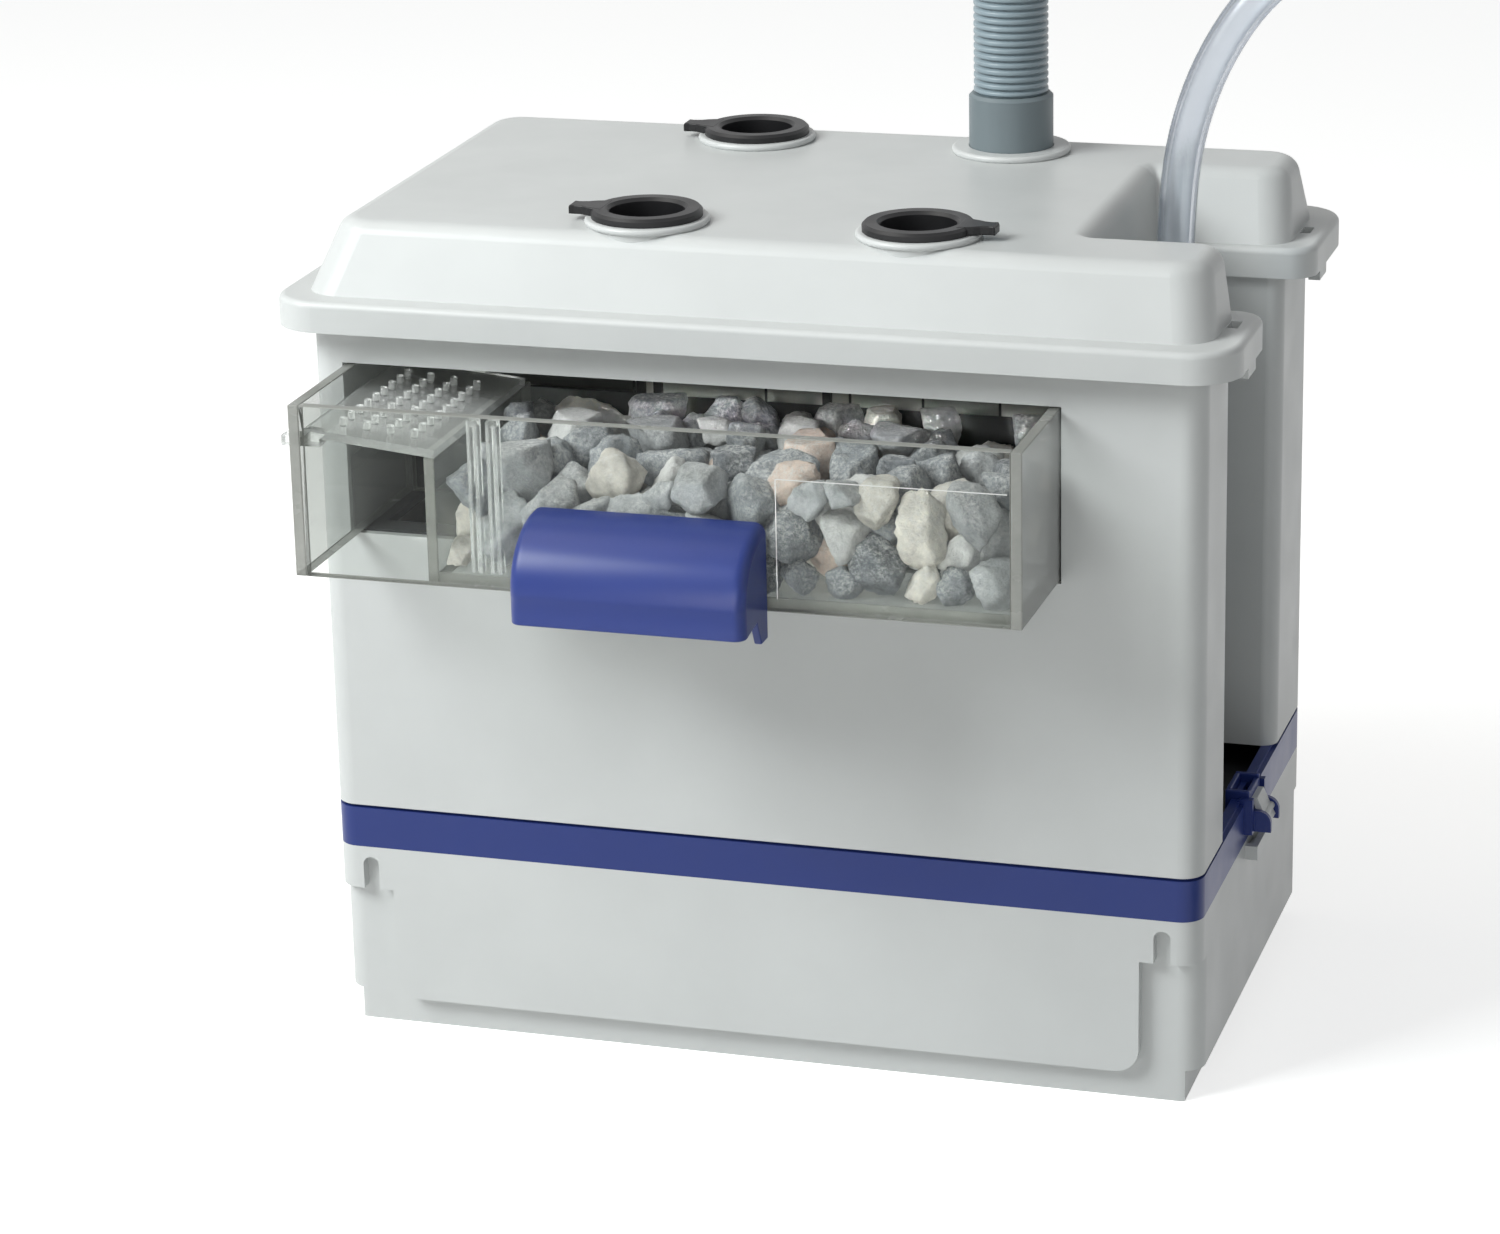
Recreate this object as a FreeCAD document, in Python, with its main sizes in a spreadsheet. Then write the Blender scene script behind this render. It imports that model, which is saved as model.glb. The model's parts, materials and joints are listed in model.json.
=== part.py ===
"""Condensate lifting pump with a neutralising drawer, as a parametric document of separate pieces.

Frame: X to the right along the front, Y to the back, Z up, millimetres.  The origin is on the
floor, under the middle of the unit with its drawer standing open.  Heights are measured from
the floor.  Depths are measured from the front face of the housing with the function depth().
"""
import FreeCAD, Part
import math
import os
import re
import Sketcher

Vector = FreeCAD.Vector

# Driving dimensions, in millimetres.
SIZES = {
    # casing
    "body_width": 276, "body_depth": 164, "corner_radius": 7, "wall": 2.6,
    "base_height": 60, "base_floor": 3, "skirt_height": 14, "panel_recess": 4,
    "panel_margin": 18.5, "panel_bottom": 9.6, "panel_radius": 7.5,
    "plinth_height": 10, "plinth_inset": 5,
    "slot_margin": 11.5, "slot_width": 5.2, "slot_top": 56.5,
    "collar_height": 13, "collar_step": 1.5, "collar_gap": 1, "collar_wall": 3,
    "collar_flange": 5, "deck_thickness": 3, "fit_gap": 0.3,
    "housing_height": 155, "notch_front": 37.5, "notch_rear": 46, "notch_depth": 39,
    "notch_radius": 5,
    # lid
    "rim_overhang": 10, "rim_height": 9.5, "rim_radius": 15, "lid_wall": 2.5, "rim_edge": 2,
    "arm_radius": 9, "notch_ledge": 3.4,
    "dome_height": 21.5, "dome_inset": 8.5, "dome_slope": 8.5, "dome_radius": 11,
    "dome_edge": 6, "end_slope": 3, "notch_slope": 4, "arm_slope": 11,
    "hook_width": 11, "hook_thickness": 2.4, "hook_drop": 5, "hook_place": 24,
    "window_length": 8, "window_width": 3.2,
    # inlets
    "inlet_radius": 13.5, "boss_radius": 17.6, "boss_height": 2, "inlet_left": -37,
    "inlet_right": 47, "inlet_front": 24, "inlet_rear": 26,
    "plug_flange": 2.6, "plug_flange_radius": 16.8, "plug_wall": 2, "plug_depth": 12,
    "plug_tab_length": 7, "plug_tab_width": 5.5, "plug_clearance": 0.1,
    "cuff_radius": 13.3, "cuff_height": 19, "cuff_insert": 10, "hose_bore_radius": 9.5,
    "inlet_hose_radius": 11.8, "inlet_hose_length": 104, "coupling_height": 21,
    # drawer
    "drawer_left": 11, "drawer_right": 43, "drawer_height": 52.7, "drawer_length": 92,
    "drawer_wall": 3.3, "drawer_drop": 64.8, "drawer_out": 45.7, "drawer_gap": 0.6,
    "drawer_travel_gap": 0.3, "partition_place": 44.1,
    "rib_first": 54.6, "rib_second": 60.6, "rib_width": 3.5, "rib_depth": 3,
    "rib_base": 4, "rib_top": 50.5, "rib_slit": 1.1,
    "plate_thickness": 2.5, "plate_high": 44.9, "plate_low": 40.8, "plate_length": 80,
    "nub_radius": 1.1, "nub_height": 2.6, "nub_pitch_x": 7.5, "nub_pitch_y": 6.7,
    "tab_reach": 3.8, "tab_length": 5, "tab_thickness": 3,
    "granulate_height": 34, "chip_size": 18,
    # handle
    "handle_width": 71, "handle_depth": 24, "handle_top": 27, "handle_height": 28.8,
    "handle_radius": 18.5, "handle_wall": 2.6, "handle_cheek_drop": 6.3,
    # latch
    "latch_front": 67, "latch_back": 89, "latch_reach": 2.6, "latch_root": 5,
    "latch_lift": 3.2, "latch_rise": 1.8, "latch_wall": 2.4, "latch_chamfer": 2.2,
    "cheek_reach": 7.8, "cheek_height": 6.8, "cheek_radius": 4, "cheek_wall": 1.8,
    "cheek_inset": 3.6, "clip_thickness": 1.8, "clip_out": 5.3, "clip_above": 4.3,
    "clip_height": 8.6, "clip_lean": 3.9, "clip_pin_radius": 1.2, "clip_clearance": 0.4,
    "lug_reach": 4, "lug_front": 69, "lug_back": 85, "lug_height": 4.5, "lug_gap": 1.2,
    # drawer guide and screens
    "shelf_thickness": 2.5, "guide_height": 18, "screen_thickness": 2.5,
    "screen_front": 95.5, "screen_rise": 20.8, "screen_left": 72,
    # pump
    "pump_x": 20, "pump_rear": 52, "motor_radius": 31, "motor_height": 66,
    "motor_foot_radius": 37, "motor_foot": 4, "shaft_radius": 3, "shaft_clearance": 0.05,
    "volute_radius": 38, "volute_base": 14, "volute_height": 18, "volute_wall": 2.5,
    "socket_wall": 1.8, "column_radius": 12, "column_wall": 2, "impeller_radius": 29,
    "impeller_disc": 2.5, "impeller_blade": 7, "blade_thickness": 2, "hub_radius": 7,
    "eye_radius": 11, "strainer_wall": 2, "strainer_slot": 3,
    # discharge
    "outlet_margin": 25.5, "outlet_y": 78, "pipe_radius": 6.5, "pipe_bore": 4.5,
    "valve_radius": 10, "valve_height": 26, "valve_wall": 2.2, "ball_radius": 5,
    "nozzle_radius": 4, "nozzle_height": 14, "hose_radius": 5.7,
    "hose_bore": 4.05, "clamp_width": 7, "clamp_thickness": 1.2,
    # float switch
    "float_margin": 68, "float_y": 66, "stem_radius": 4, "float_radius": 17,
    "float_height": 18, "float_base": 9, "float_clearance": 0.09,
    "stem_stop_radius": 8, "stem_stop": 3, "switch_height": 22,
    # electrics
    "box_margin": 18, "box_width": 56, "box_depth": 48, "box_rear": 12,
    "box_height": 52, "gland_margin": 46, "gland_rise": 34, "gland_radius": 8,
    "gland_bore": 3.6, "gland_reach": 8,
    # coil of the discharge hose
    "coil_margin": 196, "coil_y": -30, "coil_radius": 74, "coil_section": 35, "coil_height": 36,
    "screw_radius": 3.2, "screw_height": 2.4,
}

# Depth of the housing's front face in the frame: half of what stands behind the origin less
# half of what stands in front of it.
FRONT = "drawer_out/2+handle_depth/2-body_depth/2-rim_overhang/2"
COLLAR_TOP = "base_height+collar_height"
HOUSING_BASE = COLLAR_TOP + "+collar_gap"
RIM_BASE = HOUSING_BASE + "+housing_height"
RIM_TOP = RIM_BASE + "+rim_height"
LID_TOP = RIM_TOP + "+dome_height"
DRAWER_BASE = RIM_BASE + "-drawer_drop"
SCREEN_BASE = DRAWER_BASE + "+screen_rise"
DECK_BASE = "base_height+collar_wall"
DECK_TOP = DECK_BASE + "+deck_thickness"
HALF = "body_width/2"
NOTCH_INNER = HALF + "-notch_depth"
NOTCH_BACK = "body_depth-notch_rear"
OUTLET_X = HALF + "-outlet_margin"
FLOAT_X = "float_margin-" + HALF
GLAND_X = HALF + "-gland_margin"
GLAND_Z = DECK_TOP + "+gland_rise"
CLIP_X = HALF + "+clip_out"
LATCH_BASE = "base_height+latch_lift"
CLIP_Z = LATCH_BASE + "+clip_above"


def depth(text):
    """Expression of a place that lies this far behind the housing's front face."""
    return FRONT + "+" + text if not text.startswith("-") else FRONT + text


def minus(text):
    """Expression with every sign turned round."""
    text = text if text[0] in "+-" else "+" + text
    return text.translate(str.maketrans("+-", "-+"))


def value(text):
    """Number that an expression of sizes stands for: a sum of products and quotients."""
    total = 0.0
    for term in re.findall(r"[+-]?[^+-]+", str(text).replace(" ", "")):
        sign = -1.0 if term.startswith("-") else 1.0
        product = sign
        for operator, factor in re.findall(r"([*/]?)([^*/]+)", term.lstrip("+-")):
            number = SIZES[factor] if factor in SIZES else float(factor)
            product = product / number if operator == "/" else product * number
        total += product
    return total


def link(text):
    """The same expression, with each size read from the spreadsheet."""
    return re.sub(r"[a-z]\w*", lambda name: "Sizes." + name.group(0), str(text))


doc = FreeCAD.newDocument("LiftingPump")
sheet = doc.addObject("Spreadsheet::Sheet", "Sizes")
for row, (alias, number) in enumerate(SIZES.items(), start=1):
    sheet.set("A%d" % row, alias.replace("_", " "))
    sheet.set("B%d" % row, str(number))
    sheet.setAlias("B%d" % row, alias)
doc.recompute()


# ---------------------------------------------------------------- building blocks

def origin_plane(body, role):
    return next(f for f in body.Origin.OriginFeatures if f.Role == role)


def new_body(label):
    body = doc.addObject("PartDesign::Body", label)
    body.Label = label
    return body


def new_sketch(body, role="XY_Plane", shift=("0", "0", "0")):
    """Empty sketch on one of the body's own planes, moved along the plane's own axes."""
    sketch = body.newObject("Sketcher::SketchObject", body.Label + "_sketch")
    sketch.AttachmentSupport = [(origin_plane(body, role), "")]
    sketch.MapMode = "FlatFace"
    for axis, text in zip("xyz", shift):
        sketch.setExpression(".AttachmentOffset.Base." + axis, link(text))
    return sketch


def direction(start, end):
    step = end - start
    return step / step.Length


def outline(sketch, corners):
    """Closed outline through corners (x, y, radius); a radius of None leaves the corner sharp."""
    points = [Vector(value(x), value(y), 0) for x, y, _ in corners]
    radii = [0.0 if r is None else value(r) for _, _, r in corners]
    count = len(corners)
    lines, arcs = [], {}
    for i in range(count):
        j = (i + 1) % count
        along = direction(points[i], points[j])
        start = points[i] + along * radii[i]
        end = points[j] - along * radii[j]
        lines.append(sketch.addGeometry(Part.LineSegment(start, end), False))
    for i in range(count):
        if radii[i]:
            before = direction(points[i - 1], points[i])
            after = direction(points[i], points[(i + 1) % count])
            enter = points[i] - before * radii[i]
            leave = points[i] + after * radii[i]
            centre = enter + after * radii[i]
            middle = centre + direction(centre, points[i]) * radii[i]
            arcs[i] = sketch.addGeometry(Part.Arc(enter, middle, leave), False)
    add = sketch.addConstraint
    for i in range(count):
        previous = lines[i - 1]
        if i in arcs:
            swapped = (sketch.getPoint(arcs[i], 1) - sketch.getPoint(previous, 2)).Length > 1e-6
            first, last = (2, 1) if swapped else (1, 2)
            add(Sketcher.Constraint("Tangent", previous, 2, arcs[i], first))
            add(Sketcher.Constraint("Tangent", arcs[i], last, lines[i], 1))
            index = add(Sketcher.Constraint("Radius", arcs[i], radii[i]))
            sketch.setExpression("Constraints[%d]" % index, link(corners[i][2]))
        else:
            add(Sketcher.Constraint("Coincident", previous, 2, lines[i], 1))
    kinds = []
    for i in range(count):
        step = points[(i + 1) % count] - points[i]
        if abs(step.x) < 1e-9:
            kinds.append("x")
            add(Sketcher.Constraint("Vertical", lines[i]))
            place(sketch, "x", lines[i], points[i].x, corners[i][0])
        elif abs(step.y) < 1e-9:
            kinds.append("y")
            add(Sketcher.Constraint("Horizontal", lines[i]))
            place(sketch, "y", lines[i], points[i].y, corners[i][1])
        else:
            kinds.append("")
    for i in range(count):
        known = kinds[i - 1] + kinds[i]
        if "x" not in known:
            place(sketch, "x", lines[i], points[i].x, corners[i][0])
        if "y" not in known:
            place(sketch, "y", lines[i], points[i].y, corners[i][1])


def place(sketch, axis, line, number, text):
    """Hold the first end of a line at this distance from the sketch's own axis."""
    kind = "DistanceX" if axis == "x" else "DistanceY"
    index = sketch.addConstraint(Sketcher.Constraint(kind, -1, 1, line, 1, number))
    sketch.setExpression("Constraints[%d]" % index, link(text))


def circle(sketch, x, y, radius):
    """Circle in a sketch, with its place and radius tied to the sheet."""
    centre = Vector(value(x), value(y), 0)
    edge = sketch.addGeometry(Part.Circle(centre, Vector(0, 0, 1), value(radius)), False)
    for kind, number, text in (("DistanceX", centre.x, x), ("DistanceY", centre.y, y)):
        index = sketch.addConstraint(Sketcher.Constraint(kind, -1, 1, edge, 3, number))
        sketch.setExpression("Constraints[%d]" % index, link(text))
    index = sketch.addConstraint(Sketcher.Constraint("Radius", edge, value(radius)))
    sketch.setExpression("Constraints[%d]" % index, link(radius))


def rectangle(x, y, radius=None):
    """Corners of an upright rectangle between two x and two y expressions."""
    return [(x[0], y[0], radius), (x[1], y[0], radius), (x[1], y[1], radius), (x[0], y[1], radius)]


def pad(body, sketch, length, backwards=False):
    feature = body.newObject("PartDesign::Pad", body.Label + "_pad")
    feature.Profile = sketch
    feature.Reversed = backwards
    feature.setExpression("Length", link(length))
    doc.recompute()
    return feature


def pocket(body, sketch, length, backwards=False):
    before = body.Shape.Volume
    feature = body.newObject("PartDesign::Pocket", body.Label + "_pocket")
    feature.Profile = sketch
    feature.Reversed = backwards
    feature.setExpression("Length", link(length))
    doc.recompute()
    if body.Shape.Volume > before - 1e-6:
        raise RuntimeError(body.Label + ": a pocket removes nothing")
    return feature


def revolve(body, sketch):
    feature = body.newObject("PartDesign::Revolution", body.Label + "_turned")
    feature.Profile = sketch
    feature.ReferenceAxis = (sketch, ["V_Axis"])
    feature.Angle = 360
    doc.recompute()
    return feature


def loft(body, sketches, subtract=False):
    kind = "PartDesign::SubtractiveLoft" if subtract else "PartDesign::AdditiveLoft"
    feature = body.newObject(kind, body.Label + "_loft")
    feature.Profile = sketches[0]
    feature.Sections = sketches[1:]
    feature.Ruled = True
    doc.recompute()
    return feature


def fillet(body, radius, chosen):
    """Round the edges of the body that the function picks."""
    names = ["Edge%d" % n for n, edge in enumerate(body.Shape.Edges, start=1) if chosen(edge)]
    base = body.Tip
    feature = body.newObject("PartDesign::Fillet", body.Label + "_fillet")
    feature.Base = (base, names)
    feature.setExpression("Radius", link(radius))
    doc.recompute()
    return feature


def level(height):
    """Picks edges that lie flat at this height."""
    z = value(height)

    def chosen(edge):
        box = edge.BoundBox
        return abs(box.ZMin - z) < 1e-4 and abs(box.ZMax - z) < 1e-4
    return chosen


def block(label, x, y, z):
    """Box between two x, two y and two z expressions."""
    box = doc.addObject("Part::Box", label)
    box.Label = label
    for size, axis, (low, high) in zip(("Length", "Width", "Height"), "xyz", (x, y, z)):
        box.setExpression(size, "%s-(%s)" % (link(high), link(low)))
        box.setExpression(".Placement.Base." + axis, link(low))
    return box


def rod(label, radius, x, y, z):
    """Upright cylinder between two z expressions."""
    cylinder = doc.addObject("Part::Cylinder", label)
    cylinder.Label = label
    cylinder.setExpression("Radius", link(radius))
    cylinder.setExpression("Height", "%s-(%s)" % (link(z[1]), link(z[0])))
    for axis, text in zip("xyz", (x, y, z[0])):
        cylinder.setExpression(".Placement.Base." + axis, link(text))
    return cylinder


def fuse(label, shapes):
    joined = doc.addObject("Part::MultiFuse", label)
    joined.Label = label
    joined.Shapes = shapes
    joined.Refine = True
    doc.recompute()
    return joined


def cut(label, solid, tools):
    tool = tools[0] if len(tools) == 1 else fuse(label + "_tools", tools)
    rest = doc.addObject("Part::Cut", label)
    rest.Label = label
    rest.Base = solid
    rest.Tool = tool
    rest.Refine = True
    doc.recompute()
    return rest


nodes = []


def keep(piece):
    nodes.append(piece)
    return piece


# ---------------------------------------------------------------- casing

def across(inset="0"):
    """Both ends of the body's width, drawn in by an inset."""
    return (minus(HALF) + "+" + inset, HALF + minus(inset))


def lengthwise(inset="0"):
    """Both ends of the body's depth, drawn in by an inset."""
    return (depth(inset), depth("body_depth" + minus(inset)))


def make_base_tank():
    """Open tank with a skirt round its top, a raised front panel and drawn-in side feet."""
    body = new_body("base_tank")
    sketch = new_sketch(body)
    outline(sketch, rectangle(across(), lengthwise("panel_recess"), "corner_radius"))
    pad(body, sketch, "base_height")
    sketch = new_sketch(body, shift=("0", "0", "base_height-skirt_height"))
    outline(sketch, rectangle(across(), lengthwise(), "corner_radius"))
    pad(body, sketch, "skirt_height")
    panel = ("panel_margin-" + HALF, HALF + "-panel_margin")
    sketch = new_sketch(body, "XZ_Plane", ("0", "0", minus(FRONT)))
    outline(sketch, [(panel[0], "panel_bottom", "panel_radius"),
                     (panel[1], "panel_bottom", "panel_radius"),
                     (panel[1], "base_height-skirt_height/2", None),
                     (panel[0], "base_height-skirt_height/2", None)])
    pad(body, sketch, "panel_recess+wall/2", backwards=True)
    sketch = new_sketch(body, shift=("0", "0", "base_height"))
    outline(sketch, rectangle(across("wall"), lengthwise("panel_recess+wall"),
                              "corner_radius-wall"))
    pocket(body, sketch, "base_height-plinth_height-base_floor")
    sketch = new_sketch(body, shift=("0", "0", "plinth_height+base_floor"))
    outline(sketch, rectangle(across("wall+plinth_inset"), lengthwise("panel_recess+wall"),
                              "corner_radius-wall"))
    pocket(body, sketch, "plinth_height")
    for side in ("", "-"):
        sketch = new_sketch(body)
        edges = (side + "body_width/2", side + "body_width/2")
        inner = edges[0] + ("-" if not side else "+") + "plinth_inset"
        outer = edges[1] + ("+" if not side else "-") + "plinth_inset"
        x = (inner, outer) if not side else (outer, inner)
        outline(sketch, rectangle(x, (depth("-plinth_inset"), depth("body_depth+plinth_inset"))))
        pocket(body, sketch, "plinth_height", backwards=True)
        sketch = new_sketch(body, "XZ_Plane", ("0", "0", minus(FRONT)))
        middle = HALF + "-slot_margin" if not side else "slot_margin-" + HALF
        slot = (middle + "-slot_width/2", middle + "+slot_width/2")
        outline(sketch, [(slot[0], "base_height-skirt_height-wall", None),
                         (slot[1], "base_height-skirt_height-wall", None),
                         (slot[1], "slot_top", "slot_width*0.48"),
                         (slot[0], "slot_top", "slot_width*0.48")])
        pocket(body, sketch, "panel_recess")
    lug_top = "base_height-lug_gap"
    sketch = new_sketch(body, "YZ_Plane", ("0", "0", HALF + "-wall/2"))
    outline(sketch, rectangle((depth("lug_front"), depth("lug_back")),
                              (lug_top + "-lug_height", lug_top)))
    pad(body, sketch, "lug_reach+wall/2")
    sketch = new_sketch(body, "YZ_Plane", ("0", "0", HALF))
    outline(sketch, rectangle((depth("lug_front+wall"), depth("lug_back-wall")),
                              (lug_top + "-lug_height/2", "base_height-lug_gap/2")))
    pocket(body, sketch, "lug_reach/2", backwards=True)
    return body


def make_collar():
    """Blue band between tank and housing, with an inner flange and a latch box on the right."""
    body = new_body("collar")
    sketch = new_sketch(body, shift=("0", "0", "base_height"))
    outline(sketch, rectangle(across(), lengthwise(), "corner_radius"))
    pad(body, sketch, "collar_height")
    sketch = new_sketch(body, shift=("0", "0", "base_height"))
    outline(sketch, rectangle(across("collar_step"), lengthwise("collar_step"),
                              "corner_radius-collar_step"))
    pad(body, sketch, "collar_height+collar_gap")
    add_latch(body)
    sketch = new_sketch(body, shift=("0", "0", LATCH_TOP))
    outline(sketch, rectangle(across("collar_step+collar_wall"),
                              lengthwise("collar_step+collar_wall"), "corner_radius/3"))
    pocket(body, sketch, "collar_height-collar_wall+latch_rise")
    sketch = new_sketch(body, shift=("0", "0", DECK_BASE))
    inset = "collar_step+collar_wall+collar_flange"
    outline(sketch, rectangle(across(inset), lengthwise(inset), "corner_radius/3"))
    pocket(body, sketch, "collar_wall")
    return body


def add_latch(body):
    """Latch on the right of the collar: an open box with two low round cheeks for the clip."""
    sketch = new_sketch(body, "XZ_Plane", ("0", "0", minus(depth("latch_front"))))
    inner, outer = HALF + "-latch_root", HALF + "+latch_reach"
    outline(sketch, [(inner, LATCH_BASE, None), (outer, LATCH_BASE, None),
                     (outer, LATCH_TOP, None), (HALF + "-latch_chamfer/2", LATCH_TOP, None),
                     (inner, LATCH_TOP + "-latch_chamfer", None)])
    pad(body, sketch, "latch_back-latch_front", backwards=True)
    for start in ("latch_front+cheek_inset", "latch_back-cheek_inset-cheek_wall"):
        sketch = new_sketch(body, "XZ_Plane", ("0", "0", minus(depth(start))))
        outline(sketch, [(HALF + "-wall/2", LATCH_BASE, None),
                         (HALF + "+cheek_reach", LATCH_BASE, None),
                         (HALF + "+cheek_reach", LATCH_BASE + "+cheek_height", "cheek_radius"),
                         (HALF + "-wall/2", LATCH_BASE + "+cheek_height", None)])
        pad(body, sketch, "cheek_wall", backwards=True)
    sketch = new_sketch(body, shift=("0", "0", LATCH_TOP))
    outline(sketch, rectangle((HALF + "-latch_root+latch_wall", HALF + "+cheek_reach"),
                              (depth("latch_front+cheek_inset+cheek_wall"),
                               depth("latch_back-cheek_inset-cheek_wall"))))
    pocket(body, sketch, "latch_rise+collar_height-latch_wall")
    for start, thick in (("latch_front+latch_wall", "cheek_inset-latch_wall+cheek_wall"),
                         ("latch_back-cheek_inset-cheek_wall", "cheek_inset-latch_wall+cheek_wall")):
        sketch = new_sketch(body, shift=("0", "0", LATCH_TOP))
        outline(sketch, rectangle((HALF + "-latch_root+latch_wall", HALF + "+latch_reach"),
                                  (depth(start), depth(start + "+" + thick))))
        pocket(body, sketch, "latch_rise+collar_height-latch_lift-cheek_height")
    sketch = new_sketch(body, "XZ_Plane", ("0", "0", minus(depth(PIN_START + "-fit_gap"))))
    circle(sketch, CLIP_X, CLIP_Z, "clip_pin_radius+shaft_clearance")
    pocket(body, sketch, PIN_LENGTH + "+fit_gap*2")


LATCH_TOP = COLLAR_TOP + "+latch_rise"
PIN_START = "latch_front+cheek_inset+cheek_wall/2"
PIN_LENGTH = "latch_back-latch_front-cheek_inset*2-cheek_wall"


def notched(x, y, notch, radius, mouth_radius, inner_radius):
    """Outline of the casing with the notch in its right side, running round from the front left.

    x and y are the two ends of the width and depth, notch is its inner x and its two y.
    """
    inner, front, back = notch
    return [(x[0], y[0], radius), (x[1], y[0], radius), (x[1], front, mouth_radius),
            (inner, front, inner_radius), (inner, back, inner_radius), (x[1], back, mouth_radius),
            (x[1], y[1], radius), (x[0], y[1], radius)]


def notch(grow="0"):
    """Inner x and both y of the notch, made larger all round by one size."""
    return (NOTCH_INNER + minus(grow), depth("notch_front" + minus(grow)),
            depth(NOTCH_BACK + "+" + grow))


def make_upper_housing():
    """Tall shell that is open above and below, notched on the right, open in front."""
    body = new_body("upper_housing")
    sketch = new_sketch(body, shift=("0", "0", HOUSING_BASE))
    outline(sketch, notched(across(), lengthwise(), notch(), "corner_radius", "notch_radius",
                            "notch_radius"))
    pad(body, sketch, "housing_height+rim_height-lid_wall")
    sketch = new_sketch(body, shift=("0", "0", HOUSING_BASE))
    outline(sketch, notched(across("wall"), lengthwise("wall"), notch("wall"),
                            "corner_radius-wall", "notch_radius-wall", "notch_radius-wall"))
    pocket(body, sketch, "housing_height+rim_height", backwards=True)
    sketch = new_sketch(body, "XZ_Plane", ("0", "0", minus(FRONT)))
    outline(sketch, rectangle(drawer_x("-drawer_gap"),
                              (DRAWER_BASE + "-drawer_gap", DRAWER_BASE + "+drawer_height+drawer_gap")))
    pocket(body, sketch, "wall*2")
    sketch = new_sketch(body, "XZ_Plane", ("0", "0", minus(FRONT) + "-body_depth"))
    circle(sketch, GLAND_X, GLAND_Z, "gland_radius")
    pocket(body, sketch, "wall*2", backwards=True)
    return body


def drawer_x(inset="0"):
    """Both ends of the drawer's width, drawn in by an inset."""
    sign = "+" if not inset.startswith("-") else ""
    return ("drawer_left-" + HALF + sign + inset, HALF + "-drawer_right" + minus(inset))


INLET_BACK = depth("body_depth-inlet_rear")
INLETS = [("inlet_left", depth("inlet_front")), ("inlet_left", INLET_BACK),
          ("inlet_right", depth("inlet_front")), ("inlet_right", INLET_BACK)]
HOOKS = ["hook_place", "body_depth-hook_place"]


def dome_outline(grown="0", top=False):
    """Outline of the dome at its foot or its top, drawn in by a size.

    Its long sides slope alike.  The ends beside the notch stand steeper, and the notch widens
    upwards to the left and towards the back.
    """
    side = "dome_inset-rim_overhang+" + grown
    left, right = across(side)
    front, back = lengthwise(side)
    inner, notch_start, notch_end = notch(grown)
    if top:
        left, right = left + "+dome_slope", right + "-end_slope"
        front, back = front + "+dome_slope", back + "-dome_slope"
        inner, notch_end = inner + "-notch_slope", notch_end + "+arm_slope"
    return notched((left, right), (front, back), (inner, notch_start, notch_end),
                   "dome_radius" + minus(grown), "arm_radius" + minus(grown), "notch_radius/4")


def make_lid():
    """Thin moulded lid: a rim that hangs over the housing and a sloped dome, both notched."""
    body = new_body("lid")
    sketch = new_sketch(body, shift=("0", "0", RIM_BASE))
    outline(sketch, notched(across("0-rim_overhang"), lengthwise("0-rim_overhang"),
                            notch("0-notch_ledge"), "rim_radius", "arm_radius", "notch_radius"))
    pad(body, sketch, "rim_height")
    fillet(body, "rim_edge", level(RIM_TOP))
    sections = []
    for top, height in ((False, RIM_TOP), (True, LID_TOP)):
        sketch = new_sketch(body, shift=("0", "0", height))
        outline(sketch, dome_outline(top=top))
        sections.append(sketch)
    loft(body, sections)
    fillet(body, "dome_edge", level(LID_TOP))
    hollow_lid(body)
    for x, y in INLETS:
        sketch = new_sketch(body, shift=("0", "0", LID_TOP + "-lid_wall"))
        circle(sketch, x, y, "boss_radius")
        pad(body, sketch, "lid_wall+boss_height")
    sketch = new_sketch(body, shift=("0", "0", LID_TOP + "+boss_height"))
    for x, y in INLETS:
        circle(sketch, x, y, "inlet_radius")
    pocket(body, sketch, "lid_wall+boss_height+dome_edge")
    add_hooks(body)
    return body


def add_hooks(body):
    """Hooks inside the rim's right side that snap over the housing, each under a small window."""
    skirt = HALF + "+rim_overhang-lid_wall"
    for y in HOOKS:
        window = (depth(y + "-window_length/2"), depth(y + "+window_length/2"))
        sketch = new_sketch(body, shift=("0", "0", RIM_TOP))
        outline(sketch, rectangle((skirt + "-hook_thickness-window_width",
                                   skirt + "-hook_thickness"), window))
        pocket(body, sketch, "lid_wall")
        along = (depth(y + "-hook_width/2"), depth(y + "+hook_width/2"))
        sketch = new_sketch(body, shift=("0", "0", RIM_BASE + "-hook_drop"))
        outline(sketch, rectangle((skirt + "-hook_thickness", skirt + "+lid_wall/2"), along))
        pad(body, sketch, "hook_drop+rim_height-lid_wall/2")


def hollow_lid(body):
    """Takes the inside out of the lid, so that it sits on the top edge of the housing."""
    inset = "lid_wall-rim_overhang"
    sketch = new_sketch(body, shift=("0", "0", RIM_BASE))
    outline(sketch, notched(across(inset), lengthwise(inset), notch("lid_wall-notch_ledge"),
                            "rim_radius-lid_wall", "arm_radius-lid_wall", "notch_radius"))
    pocket(body, sketch, "rim_height-lid_wall", backwards=True)
    sections = []
    for top, height, grown in ((False, RIM_TOP, "lid_wall"),
                               (True, LID_TOP + "-dome_edge/2", "lid_wall"),
                               (True, LID_TOP, "lid_wall+dome_edge/2")):
        sketch = new_sketch(body, shift=("0", "0", height + "-lid_wall"))
        outline(sketch, dome_outline(grown, top))
        sections.append(sketch)
    loft(body, sections, subtract=True)


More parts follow.
